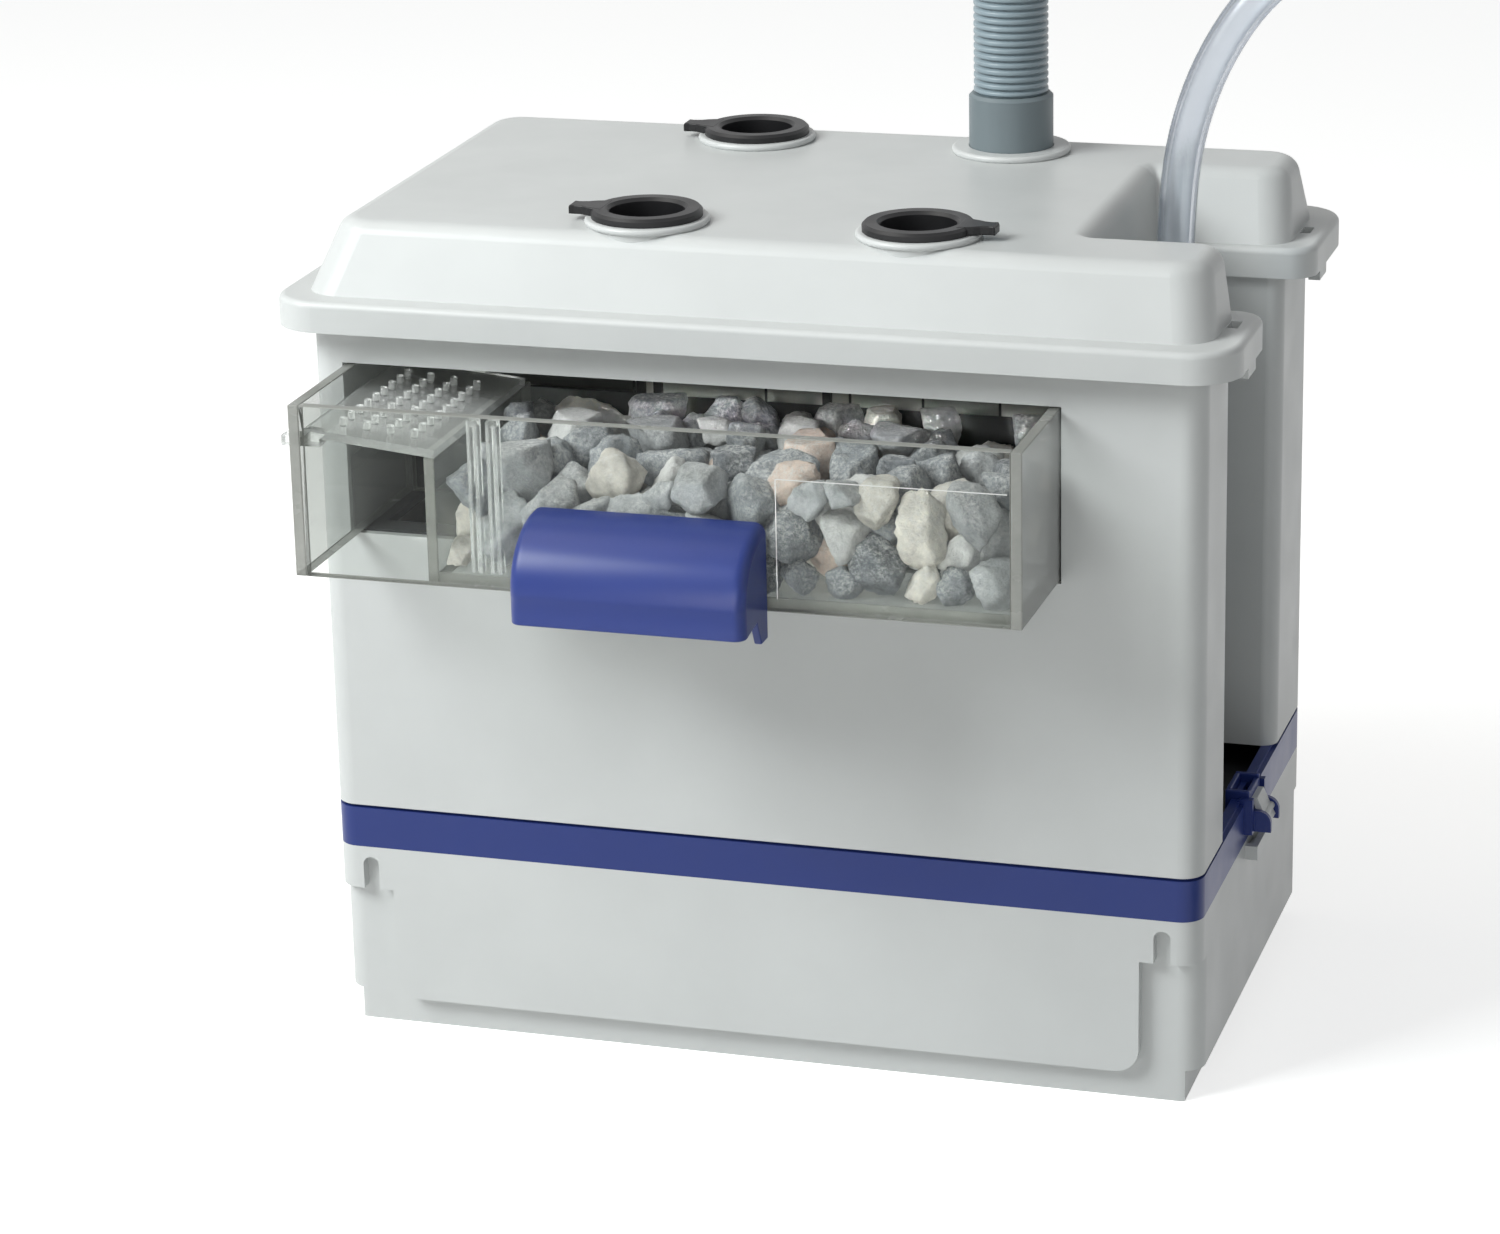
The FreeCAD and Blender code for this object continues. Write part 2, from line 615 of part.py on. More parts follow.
def chamfered(corners):
    """An outline of level and upright lines, with each corner that has a size cut off by it."""
    points = []
    for i, (x, y, size) in enumerate(corners):
        if size is None:
            points.append((x, y, None))
            continue
        for beside in (corners[i - 1], corners[(i + 1) % len(corners)]):
            step_x = value(beside[0]) - value(x)
            step_y = value(beside[1]) - value(y)
            longer = max(step_x, step_y, key=abs)
            shift = "+" + size if longer > 0 else minus(size)
            points.append((x + shift, y, None) if longer == step_x else (x, y + shift, None))
    return points


def turned(body, x, y, corners):
    """Solid of revolution about an upright line, from (radius, height, chamfer) corners."""
    sketch = new_sketch(body, "XZ_Plane", (x, "0", minus(y)))
    outline(sketch, chamfered(corners))
    revolve(body, sketch)


# ---------------------------------------------------------------- inlets

def make_plug(name, place, side):
    """Rubber cup that closes an unused inlet, with a pull tab on one side of its flange."""
    x, y = place
    body = new_body(name)
    top = LID_TOP + "+boss_height+plug_flange"
    seat = LID_TOP + "+boss_height"
    bottom = LID_TOP + "-plug_depth"
    outer = "inlet_radius-plug_clearance"
    inner = outer + "-plug_wall"
    turned(body, x, y, [("0", bottom, None), (outer, bottom, "plug_wall/2"), (outer, seat, None),
                        ("plug_flange_radius", seat, None),
                        ("plug_flange_radius", top, "plug_flange/3"), (inner, top, "plug_wall/2"),
                        (inner, bottom + "+plug_wall", None), ("0", bottom + "+plug_wall", None)])
    sketch = new_sketch(body, shift=("0", "0", seat))
    root = x + side + "plug_flange_radius" + ("-" if side == "+" else "+") + "plug_flange"
    tip = x + side + "plug_flange_radius" + side + "plug_tab_length"
    edges = (root, tip) if side == "+" else (tip, root)
    outline(sketch, rectangle(edges, (y + "-plug_tab_width/2", y + "+plug_tab_width/2")))
    pad(body, sketch, "plug_flange*0.8")
    return body


def make_inlet_cuff():
    """Smooth sleeve on the end of the inlet hose, seated in the back right inlet."""
    body = new_body("inlet_cuff")
    x, y = INLETS[3]
    bottom = LID_TOP + "-cuff_insert"
    top = LID_TOP + "+cuff_height"
    turned(body, x, y, [("hose_bore_radius", bottom, None), ("cuff_radius", bottom, None),
                        ("cuff_radius", top, "plug_wall/2"), ("hose_bore_radius", top, None)])
    return body


def make_inlet_hose():
    """Corrugated hose standing on its cuff, as a plain solid of its outer diameter."""
    base = LID_TOP + "+cuff_height"
    return rod("inlet_hose", "inlet_hose_radius", INLETS[3][0], INLETS[3][1],
               (base, base + "+inlet_hose_length"))


def make_inlet_coupling():
    """Open sleeve at the hose's upper end, for the drain pipe of the boiler."""
    body = new_body("inlet_coupling")
    x, y = INLETS[3]
    bottom = LID_TOP + "+cuff_height+inlet_hose_length"
    top = bottom + "+coupling_height"
    turned(body, x, y, [("hose_bore_radius", bottom, None), ("cuff_radius", bottom, "plug_wall/2"),
                        ("cuff_radius", top, "plug_wall/2"), ("hose_bore_radius", top, None)])
    return body


# ---------------------------------------------------------------- drawer

DRAWER_FRONT = depth("-drawer_out")
DRAWER_BACK = depth("drawer_length-drawer_out")
DRAWER_TOP = DRAWER_BASE + "+drawer_height"
LEFT, RIGHT = drawer_x()
INNER_Y = (DRAWER_FRONT + "+drawer_wall", DRAWER_BACK + "-drawer_wall")
WALL_Z = (DRAWER_BASE, DRAWER_TOP)
PARTITION_X = (LEFT + "+partition_place-drawer_wall", LEFT + "+partition_place")


def make_drawer_walls():
    """Bonded acrylic sheets: front, back and right wall, floor and partition."""
    inner_x = (LEFT + "+drawer_wall", RIGHT + "-drawer_wall")
    walls = [
        block("drawer_front_wall", inner_x, (DRAWER_FRONT, INNER_Y[0]), WALL_Z),
        block("drawer_back_wall", inner_x, (INNER_Y[1], DRAWER_BACK), WALL_Z),
        block("drawer_right_wall", (inner_x[1], RIGHT), (DRAWER_FRONT, DRAWER_BACK), WALL_Z),
        block("drawer_floor", (PARTITION_X[1], inner_x[1]), INNER_Y,
              (DRAWER_BASE, DRAWER_BASE + "+drawer_wall")),
        block("drawer_partition", PARTITION_X, INNER_Y,
              (DRAWER_BASE, DRAWER_BASE + "+plate_low-plate_thickness")),
    ]
    sheet_left = block("left_wall_sheet", (LEFT, inner_x[0]), (DRAWER_FRONT, DRAWER_BACK), WALL_Z)
    slit = block("left_wall_slit", (LEFT + "-tab_reach", inner_x[0] + "+tab_reach"),
                 (INNER_Y[0], INNER_Y[0] + "+tab_length"), (TAB_Z[0], TAB_Z[1]))
    walls.append(cut("drawer_left_wall", sheet_left, [slit]))
    return walls


TAB_Z = (DRAWER_BASE + "+plate_high-plate_thickness-tab_thickness",
         DRAWER_BASE + "+plate_high-plate_thickness")


def make_drawer_ribs():
    """Two slim clear ribs with a slit down the middle, bonded inside the front wall."""
    ribs = []
    for number, start in enumerate(("rib_first", "rib_second"), start=1):
        x = (LEFT + "+" + start, LEFT + "+" + start + "+rib_width")
        y = (INNER_Y[0], INNER_Y[0] + "+rib_depth")
        solid = block("rib_%d" % number, x, y, (DRAWER_BASE + "+rib_base", DRAWER_BASE + "+rib_top"))
        slit_x = (x[0] + "+rib_width/2-rib_slit/2", x[0] + "+rib_width/2+rib_slit/2")
        slit = block("rib_slit_%d" % number, slit_x, (y[0] + "-rib_slit", y[1] + "+rib_slit"),
                     (DRAWER_BASE, DRAWER_BASE + "+rib_top-rib_width/2"))
        ribs.append(cut("rib_cut_%d" % number, solid, [slit]))
    return fuse("drawer_ribs", ribs)


def make_diffuser_plate():
    """Clear plate that slopes down to the partition, with rows of small nozzles and a tab."""
    start = value(LEFT + "+drawer_wall")
    end = value(PARTITION_X[1])
    drop = math.degrees(math.atan((value("plate_high-plate_low")) / (end - start)))
    length = (end - start) / math.cos(math.radians(drop))
    sheet_box = Part.makeBox(length, value("plate_length"), value("plate_thickness"))
    pieces = []
    margin = (length - 3 * value("nub_pitch_x")) / 2
    rows = int((value("plate_length") - 2 * value("nub_pitch_y")) // value("nub_pitch_y"))
    for column in range(4):
        for line in range(rows):
            centre = Vector(margin + column * value("nub_pitch_x"),
                            value("nub_pitch_y") * (line + 1.2), value("plate_thickness") / 2)
            pieces.append(Part.makeCylinder(value("nub_radius"),
                                            value("nub_height+plate_thickness/2"), centre))
    shape = sheet_box.multiFuse(pieces)
    tilt = FreeCAD.Placement(Vector(start, value(INNER_Y[0]),
                                    value(DRAWER_BASE + "+plate_high-plate_thickness")),
                             FreeCAD.Rotation(Vector(0, 1, 0), drop))
    shape.Placement = tilt
    tab = Part.makeBox(value("tab_reach+drawer_wall+tab_length"), value("tab_length"),
                       value("tab_thickness"),
                       Vector(value(LEFT + "-tab_reach"), value(INNER_Y[0]), value(TAB_Z[0])))
    plate = doc.addObject("Part::Feature", "diffuser_plate")
    plate.Label = "diffuser_plate"
    plate.Shape = shape.fuse(tab).removeSplitter()
    return plate


def make_granulate():
    """Bed of marble chips: a level fill with angular stones standing out of its top."""
    gap = "fit_gap"
    low = Vector(value(PARTITION_X[1] + "+" + gap), value(INNER_Y[0] + "+" + gap),
                 value(DRAWER_BASE + "+drawer_wall"))
    high = Vector(value(RIGHT + "-drawer_wall-" + gap), value(INNER_Y[1] + "-" + gap),
                  value(DRAWER_BASE + "+drawer_height-rib_depth"))
    size = high - low
    room = Part.makeBox(size.x, size.y, size.z, low)
    chip = value("chip_size")
    bed = Part.makeBox(size.x, size.y, value("granulate_height") - chip / 2, low)
    stones = []
    columns = int(size.x // chip)
    rows = int(size.y // chip)
    for column in range(columns):
        for line in range(rows):
            turn = 37.0 * column + 61.0 * line
            stone = Part.makeBox(chip, chip * 0.8, chip * 0.7,
                                 Vector(-chip / 2, -chip * 0.4, -chip * 0.35))
            stone.rotate(Vector(0, 0, 0), Vector(1, 0.4, 0.7), turn)
            lift = value("granulate_height") - chip * (0.62 + 0.1 * ((column * 5 + line * 3) % 4))
            stone.translate(low + Vector((column + 0.5) * size.x / columns,
                                         (line + 0.5) * size.y / rows, lift))
            stones.append(stone)
    shape = bed.multiFuse(stones).common(room)
    ribs = Part.makeBox(value("rib_second-rib_first+rib_width+fit_gap*2"),
                        value("rib_depth"), value("drawer_height"),
                        Vector(value(LEFT + "+rib_first-fit_gap"), low.y, value(DRAWER_BASE)))
    granulate = doc.addObject("Part::Feature", "granulate")
    granulate.Label = "granulate"
    granulate.Shape = shape.cut(ribs).removeSplitter()
    return granulate


def make_drawer_handle():
    """Cup pull: a quarter-round hood with closed cheeks, open below for the fingers."""
    body = new_body("drawer_handle")
    wall_y = DRAWER_FRONT
    nose_y = DRAWER_FRONT + "-handle_depth"
    top = DRAWER_BASE + "+handle_top"
    bottom = top + "-handle_height"
    start = "drawer_left/2-drawer_right/2-handle_width/2"
    sketch = new_sketch(body, "YZ_Plane", ("0", "0", start))
    outline(sketch, [(wall_y, top, None), (nose_y, top, "handle_radius"), (nose_y, bottom, None),
                     (wall_y, bottom + "-handle_cheek_drop", None)])
    pad(body, sketch, "handle_width")
    low, high = value(start), value(start + "+handle_width")

    def cheek_rim(edge):
        box = edge.BoundBox
        flat = box.XMax - box.XMin < 1e-4
        at_end = min(abs(box.XMin - low), abs(box.XMin - high)) < 1e-4
        away = box.YMin < value(wall_y) - 1e-4 and box.ZMax > value(bottom) + 1e-4
        return flat and at_end and away
    fillet(body, "handle_wall/2", cheek_rim)
    sketch = new_sketch(body, "YZ_Plane", ("0", "0", start + "+handle_wall"))
    outline(sketch, [(wall_y, top + "-handle_wall", None),
                     (nose_y + "+handle_wall", top + "-handle_wall", "handle_radius-handle_wall"),
                     (nose_y + "+handle_wall", bottom + "-handle_wall*3", None),
                     (wall_y, bottom + "-handle_wall*3", None)])
    pocket(body, sketch, "handle_width-handle_wall*2", backwards=True)
    return body


SHELF_TOP = DRAWER_BASE + "-drawer_travel_gap"
SHELF_BASE = SHELF_TOP + "-shelf_thickness"
SCREEN_Y = (depth("screen_front"), depth("screen_front+screen_thickness"))


def make_drawer_guide():
    """Dark shelf the drawer slides on, with side rails, a back wall and a drain opening."""
    inner_left = minus(HALF) + "+wall*1.5"
    inner_right = NOTCH_INNER + "-wall-fit_gap"
    front = depth("wall*1.5")
    shelf = block("guide_shelf", (inner_left, inner_right), (front, SCREEN_Y[1]),
                  (SHELF_BASE, SHELF_TOP))
    left_rail = block("guide_left", (inner_left, LEFT + "-drawer_gap"), (front, SCREEN_Y[1]),
                      (SHELF_TOP, SHELF_TOP + "+guide_height"))
    right_rail = block("guide_right", (RIGHT + "+drawer_gap", RIGHT + "+drawer_wall"),
                       (front, depth("notch_front-wall")),
                       (SHELF_BASE, SHELF_TOP + "+guide_height"))
    back = block("guide_back", (inner_left, inner_right), SCREEN_Y, (SHELF_TOP, SCREEN_BASE))
    drain = block("guide_drain", (LEFT + "+drawer_wall*2", PARTITION_X[0] + "-drawer_wall"),
                  (depth("drawer_wall*4"), DRAWER_BACK + "+drawer_out-drawer_wall*3"),
                  (SHELF_BASE + "-shelf_thickness", SHELF_TOP + "+shelf_thickness"))
    solid = fuse("guide_solid", [shelf, left_rail, right_rail, back])
    return cut("drawer_guide", solid, [drain])


def make_rear_screen():
    """Pale panel that closes the back of the drawer's space above the guide."""
    return block("rear_screen", ("screen_left-" + HALF, NOTCH_INNER + "-wall"), SCREEN_Y,
                 (SCREEN_BASE, DRAWER_BASE + "+drawer_height+tab_length"))


def make_collector_tray():
    """Shallow pan under the inlets that leads the water to the drawer's open compartment."""
    body = new_body("collector_tray")
    base = DRAWER_BASE + "+drawer_height+tab_length"
    sketch = new_sketch(body, shift=("0", "0", base))
    outline(sketch, notched(across("wall"), lengthwise("wall"), notch("wall"),
                            "corner_radius-wall", "notch_radius-wall", "notch_radius-wall"))
    pad(body, sketch, "rim_height")
    sketch = new_sketch(body, shift=("0", "0", base + "+shelf_thickness"))
    inset = "wall+shelf_thickness"
    outline(sketch, notched(across(inset), lengthwise(inset), notch(inset),
                            "corner_radius/3", "corner_radius/3", "corner_radius/3"))
    pocket(body, sketch, "rim_height", backwards=True)
    sketch = new_sketch(body, shift=("0", "0", base))
    outline(sketch, rectangle((LEFT + "+drawer_wall*3", PARTITION_X[0] + "-drawer_wall"),
                              (depth("drawer_wall*4"), depth("drawer_length/2"))))
    pocket(body, sketch, "shelf_thickness", backwards=True)
    return body


def make_latch_clip():
    """Clip on a pin between the latch's cheeks: a flap whose foot leans out, with a short heel."""
    body = new_body("latch_clip")
    start = "latch_front+cheek_inset+cheek_wall+clip_clearance"
    sketch = new_sketch(body, "XZ_Plane", ("0", "0", minus(depth(start))))
    top = CLIP_Z + "+clip_height*0.7"
    foot = CLIP_Z + "-clip_height*0.3"
    head = CLIP_X + "-clip_lean*0.6"
    toe = CLIP_X + "+clip_lean*0.4"
    outline(sketch, [(head, top, None), (head + "-clip_thickness", top, None),
                     (CLIP_X + "-clip_thickness", CLIP_Z, None), (toe + "-clip_thickness", foot, None),
                     (toe, foot, None)])
    pad(body, sketch, "latch_back-latch_front-cheek_inset*2-cheek_wall*2-clip_clearance*2",
        backwards=True)
    sketch = new_sketch(body, "XZ_Plane", ("0", "0", minus(depth(PIN_START))))
    circle(sketch, CLIP_X, CLIP_Z, "clip_pin_radius")
    pad(body, sketch, PIN_LENGTH, backwards=True)
    return body


# ---------------------------------------------------------------- pump

PUMP = ("pump_x", depth("body_depth-pump_rear"))


def make_deck_plate():
    """Black plate inside the collar that carries the motor and the valve."""
    body = new_body("deck_plate")
    inset = "collar_step+collar_wall+fit_gap"
    sketch = new_sketch(body, shift=("0", "0", DECK_BASE))
    outline(sketch, rectangle(across(inset), lengthwise(inset), "corner_radius/3"))
    pad(body, sketch, "deck_thickness")
    sketch = new_sketch(body, shift=("0", "0", DECK_TOP))
    circle(sketch, PUMP[0], PUMP[1], "column_radius-column_wall")
    circle(sketch, OUTLET_X, depth("outlet_y"), "pipe_bore")
    outline(sketch, rectangle((LEFT + "+drawer_wall*3", LEFT + "+drawer_wall*9"),
                              (depth("drawer_wall*4"), depth("drawer_length/2")), "wall"))
    pocket(body, sketch, "deck_thickness")
    return body


def make_motor():
    """Motor can with a foot flange, a stepped end bell and cooling grooves."""
    body = new_body("motor")
    bore = "shaft_radius+shaft_clearance"
    top = DECK_TOP + "+motor_height"
    foot = DECK_TOP + "+motor_foot"
    turned(body, PUMP[0], PUMP[1],
           [(bore, DECK_TOP, None), ("motor_foot_radius", DECK_TOP, None),
            ("motor_foot_radius", foot, "wall/2"), ("motor_radius", foot, None),
            ("motor_radius", top + "-motor_radius/3", "wall"),
            ("motor_radius*0.8", top + "-motor_radius/3", None),
            ("motor_radius*0.8", top, "wall"), (bore, top, None)])
    return body


def make_shaft():
    """Steel shaft from the motor down to the impeller."""
    return rod("pump_shaft", "shaft_radius", PUMP[0], PUMP[1],
               ("volute_base+volute_wall*1.6", DECK_TOP + "+motor_height/2"))


def make_impeller():
    """Disc with a hub and curved blades under it, fixed on the shaft."""
    low = value("volute_base+volute_wall*1.6")
    blade_top = low + value("impeller_blade")
    disc_top = blade_top + value("impeller_disc")
    pump = Vector(value(PUMP[0]), value(PUMP[1]), 0)
    disc = Part.makeCylinder(value("impeller_radius"), disc_top - blade_top,
                             Vector(0, 0, blade_top))
    hub = Part.makeCylinder(value("hub_radius"), disc_top - low, Vector(0, 0, low))
    blades = []
    for number in range(BLADES):
        inner = value("eye_radius")
        outer = value("impeller_radius")
        ring = Part.makeCylinder(outer * 0.7, disc_top - low, Vector(outer * 0.7, 0, low))
        core = Part.makeCylinder(outer * 0.7 - value("blade_thickness"), disc_top - low,
                                 Vector(outer * 0.7, 0, low))
        reach = Part.makeCylinder(outer, disc_top - low, Vector(0, 0, low))
        eye = Part.makeCylinder(inner * 0.5, disc_top - low, Vector(0, 0, low))
        half = Part.makeBox(outer * 2, outer, disc_top - low, Vector(0, 0, low))
        blade = ring.cut(core).common(reach).common(half).cut(eye)
        blade.rotate(Vector(0, 0, 0), Vector(0, 0, 1), 360.0 * number / BLADES)
        blades.append(blade)
    shape = disc.multiFuse([hub] + blades)
    bore = Part.makeCylinder(value("shaft_radius"), disc_top, Vector(0, 0, 0))
    shape = shape.cut(bore).removeSplitter()
    shape.translate(pump)
    impeller = doc.addObject("Part::Feature", "impeller")
    impeller.Label = "impeller"
    impeller.Shape = shape
    return impeller


BLADES = 6


def outlet_direction():
    """Level direction from the pump's axis to the foot of the outlet."""
    pump = Vector(value(PUMP[0]), value(PUMP[1]), 0)
    outlet = Vector(value(OUTLET_X), value(depth("outlet_y")), 0)
    return pump, direction(pump, outlet)


def make_volute():
    """Pump casing under the deck: hollow drum with a suction eye, a column and an outlet boss."""
    low, tall = value("volute_base"), value("volute_height")
    wall, radius = value("volute_wall"), value("volute_radius")
    top = low + tall
    column_top = value(DECK_BASE)
    pump, way = outlet_direction()
    drum = Part.makeCylinder(radius, tall, pump + Vector(0, 0, low))
    column = Part.makeCylinder(value("column_radius"), column_top - top, pump + Vector(0, 0, top))
    middle = pump + Vector(0, 0, low + tall / 2)
    boss = Part.makeCylinder(value("pipe_radius+socket_wall"), radius + wall * 3, middle, way)
    hollow = Part.makeCylinder(radius - wall, tall - 2 * wall, pump + Vector(0, 0, low + wall))
    inside = Part.makeCylinder(value("column_radius-column_wall"), column_top,
                               pump + Vector(0, 0, low + wall))
    eye = Part.makeCylinder(value("eye_radius"), wall * 2, pump + Vector(0, 0, low - wall / 2))
    outlet = Part.makeCylinder(value("pipe_radius"), radius * 2, middle, way)
    outlet = outlet.cut(drum)
    throat = Part.makeCylinder(value("pipe_bore"), radius + wall, middle, way)
    shape = drum.multiFuse([column, boss]).cut(hollow).cut(inside).cut(eye).cut(outlet).cut(throat)
    volute = doc.addObject("Part::Feature", "pump_volute")
    volute.Label = "pump_volute"
    volute.Shape = shape.removeSplitter()
    return volute


def make_strainer():
    """Slotted foot ring that the pump draws through, standing on the tank's floor."""
    body = new_body("strainer")
    outer = "volute_radius-volute_wall"
    turned(body, PUMP[0], PUMP[1],
           [(outer + "-strainer_wall", "base_floor", None), (outer, "base_floor", None),
            (outer, "volute_base", None), (outer + "-strainer_wall", "volute_base", None)])
    sketch = new_sketch(body, "XZ_Plane", (PUMP[0], "0", minus(PUMP[1])))
    outline(sketch, rectangle(("0-strainer_slot/2", "strainer_slot/2"),
                              ("base_floor+strainer_wall", "volute_base-strainer_wall")))
    slot = pocket(body, sketch, "volute_radius")
    pattern = body.newObject("PartDesign::PolarPattern", "strainer_slots")
    pattern.Originals = [slot]
    pattern.Axis = (sketch, ["V_Axis"])
    pattern.Angle = 360
    pattern.Occurrences = SLOTS
    body.Tip = pattern
    doc.recompute()
    return body


SLOTS = 16


# ---------------------------------------------------------------- discharge

def swept(label, wire, radius, bore=0.0):
    """Round section carried along a path of straight runs and tangent arcs."""
    start = wire.Edges[0]
    begin = start.Vertexes[0].Point
    heading = start.tangentAt(start.FirstParameter)
    ring = Part.Wire(Part.makeCircle(radius, begin, heading))
    shape = wire.makePipeShell([ring], True, True)
    if bore:
        inner = Part.Wire(Part.makeCircle(bore, begin, heading))
        shape = shape.cut(wire.makePipeShell([inner], True, True))
    piece = doc.addObject("Part::Feature", label)
    piece.Label = label
    piece.Shape = shape
    return piece


def route(points, radii=None):
    """Wire of straight runs joined by tangent arcs; prints and returns the arcs' radii."""
    edges = []
    start = points[0]
    used = []
    for i in range(1, len(points) - 1):
        before, corner, after = points[i - 1], points[i], points[i + 1]
        way_in, way_out = direction(before, corner), direction(corner, after)
        turn = way_in.getAngle(way_out)
        shorter = min((corner - before).Length, (after - corner).Length)
        reach = 0.45 * shorter if radii is None else radii * math.tan(turn / 2)
        radius = reach / math.tan(turn / 2)
        enter = corner - way_in * reach
        leave = corner + way_out * reach
        bisector = direction(corner, (enter + leave) * 0.5)
        centre_distance = radius / math.cos(turn / 2)
        middle = corner + bisector * (centre_distance - radius)
        edges.append(Part.LineSegment(start, enter).toShape())
        edges.append(Part.Arc(enter, middle, leave).toShape())
        used.append(radius)
        start = leave
    edges.append(Part.LineSegment(start, points[-1]).toShape())
    return Part.Wire(edges), used


def make_discharge_pipe():
    """Bent pipe from the volute's outlet up to the valve on the deck."""
    pump, way = outlet_direction()
    height = Vector(0, 0, value("volute_base+volute_height/2"))
    foot = Vector(value(OUTLET_X), value(depth("outlet_y")), height.z)
    top = Vector(foot.x, foot.y, value(DECK_BASE))
    wire, _ = route([pump + way * value("volute_radius") + height, foot, top],
                    radii=value("pipe_radius*2"))
    return swept("discharge_pipe", wire, value("pipe_radius"), value("pipe_bore"))


VALVE_TOP = DECK_TOP + "+valve_height"
NOZZLE_TOP = VALVE_TOP + "+nozzle_height"


def make_check_valve():
    """Valve body on the deck with a ball seat inside and a barbed nozzle on top."""
    body = new_body("check_valve")
    barb = "nozzle_radius-wall/4"
    step = "nozzle_height/3"
    turned(body, OUTLET_X, depth("outlet_y"),
           [("ball_radius*0.8", DECK_TOP, None), ("valve_radius", DECK_TOP, None),
            ("valve_radius", VALVE_TOP, "wall/2"), (barb, VALVE_TOP, None),
            (barb, VALVE_TOP + "+" + step, None),
            ("nozzle_radius", VALVE_TOP + "+" + step, None),
            (barb, VALVE_TOP + "+" + step + "*2", None),
            ("nozzle_radius", VALVE_TOP + "+" + step + "*2", None),
            (barb, NOZZLE_TOP, None), ("ball_radius/2", NOZZLE_TOP, None),
            ("ball_radius/2", VALVE_TOP + "-valve_wall", None),
            ("valve_radius-valve_wall", VALVE_TOP + "-valve_wall", None),
            ("valve_radius-valve_wall", DECK_TOP + "+valve_wall", None),
            ("ball_radius*0.8", DECK_TOP + "+valve_wall", None)])
    return body


def make_valve_ball():
    """Ball of the check valve, resting on its seat."""
    ball = doc.addObject("Part::Sphere", "valve_ball")
    ball.Label = "valve_ball"
    ball.setExpression("Radius", link("ball_radius"))
    ball.setExpression(".Placement.Base.x", link(OUTLET_X))
    ball.setExpression(".Placement.Base.y", link(depth("outlet_y")))
    ball.setExpression(".Placement.Base.z", link(DECK_TOP + "+valve_wall+ball_radius*0.62"))
    return ball


def make_hose_end():
    """Short straight end of the clear hose, pushed over the nozzle."""
    body = new_body("discharge_hose_end")
    low = VALVE_TOP + "+wall/4"
    turned(body, OUTLET_X, depth("outlet_y"),
           [("hose_bore", low, None), ("hose_radius", low, None),
            ("hose_radius", NOZZLE_TOP, None), ("hose_bore", NOZZLE_TOP, None)])
    return body


def make_hose_clamp():
    """Worm-drive band round the hose end, with its screw housing to one side."""
    low = VALVE_TOP + "+nozzle_height/4"
    band = rod("clamp_band", "hose_radius+clamp_thickness", OUTLET_X, depth("outlet_y"),
               (low, low + "+clamp_width"))
    housing = block("clamp_housing", (OUTLET_X + "+hose_radius", OUTLET_X + "+hose_radius+clamp_width"),
                    (depth("outlet_y-clamp_width/2"), depth("outlet_y+clamp_width/2")),
                    (low, low + "+clamp_width"))
    bore = rod("clamp_bore", "hose_radius", OUTLET_X, depth("outlet_y"),
               (low + "-wall", low + "+clamp_width+wall"))
    return cut("hose_clamp", fuse("clamp_solid", [band, housing]), [bore])


def hose_points():
    """Route of the clear hose: up the notch, over to the right and down to the coil."""
    x, y, nozzle = value(OUTLET_X), value(depth("outlet_y")), value(NOZZLE_TOP)
    rise = [(0, 0), (-0.5, 54), (-0.6, 109), (0.4, 156), (3.5, 178), (11.5, 200), (25.5, 221),
            (45.5, 234), (68.5, 237), (92.5, 231), (113.5, 216), (128.5, 192), (138.5, 156),
            (143.5, 109), (146, 59)]
    fall = [(147.1, 1, 125), (147.5, 9, 95), (147.7, 27, 70), (148, 52, 51), (148, 80, 39),
            (147.5, 102, 32)]
    points = [Vector(x + aside, y, nozzle + up) for aside, up in rise]
    points += [Vector(x + aside, y - ahead, height) for aside, ahead, height in fall]
    return points


def make_discharge_hose():
    wire, used = route(hose_points())
    hose = swept("discharge_hose", wire, value("hose_radius"))
    print("discharge hose: length %.0f mm, radii %s" % (wire.Length, [round(r) for r in used]))
    print("  volume against section times length: %.4f"
          % (hose.Shape.Volume / (math.pi * value("hose_radius") ** 2 * wire.Length)))
    return hose


def make_discharge_coil():
    """Wound length of the clear hose lying on the floor, as one ring of its outer shape."""
    body = new_body("discharge_coil")
    inner = "coil_radius-coil_section/2"
    outer = "coil_radius+coil_section/2"
    corner = "hose_radius"
    turned(body, HALF + "+coil_margin", depth("coil_y"),
           [(inner, "0", corner), (outer, "0", corner), (outer, "coil_height", corner),
            (inner, "coil_height", corner)])
    return body


# ---------------------------------------------------------------- float, switch and wiring

def make_float_stem():
    """Guide rod hanging from the deck, with a stop under the float."""
    x, y = FLOAT_X, depth("float_y")
    rod_part = rod("stem_rod", "stem_radius", x, y, ("float_base-stem_stop-fit_gap", DECK_BASE))
    stop = rod("stem_foot", "stem_stop_radius", x, y,
               ("float_base-stem_stop-fit_gap", "float_base-fit_gap"))
    return fuse("float_stem", [rod_part, stop])


def make_float():
    """Ring float that rides up and down its stem."""
    body = new_body("float")
    top = "float_base+float_height"
    bore = "stem_radius+float_clearance"
    turned(body, FLOAT_X, depth("float_y"),
           [(bore, "float_base", None), ("float_radius", "float_base", "wall"),
            ("float_radius", top, "wall"), (bore, top, None)])
    return body


def make_float_switch():
    """Switch housing on the deck over the float's stem."""
    half = "float_radius*0.8"
    return block("float_switch", (FLOAT_X + "-" + half, FLOAT_X + "+" + half),
                 (depth("float_y-" + half), depth("float_y+" + half)),
                 (DECK_TOP, DECK_TOP + "+switch_height"))


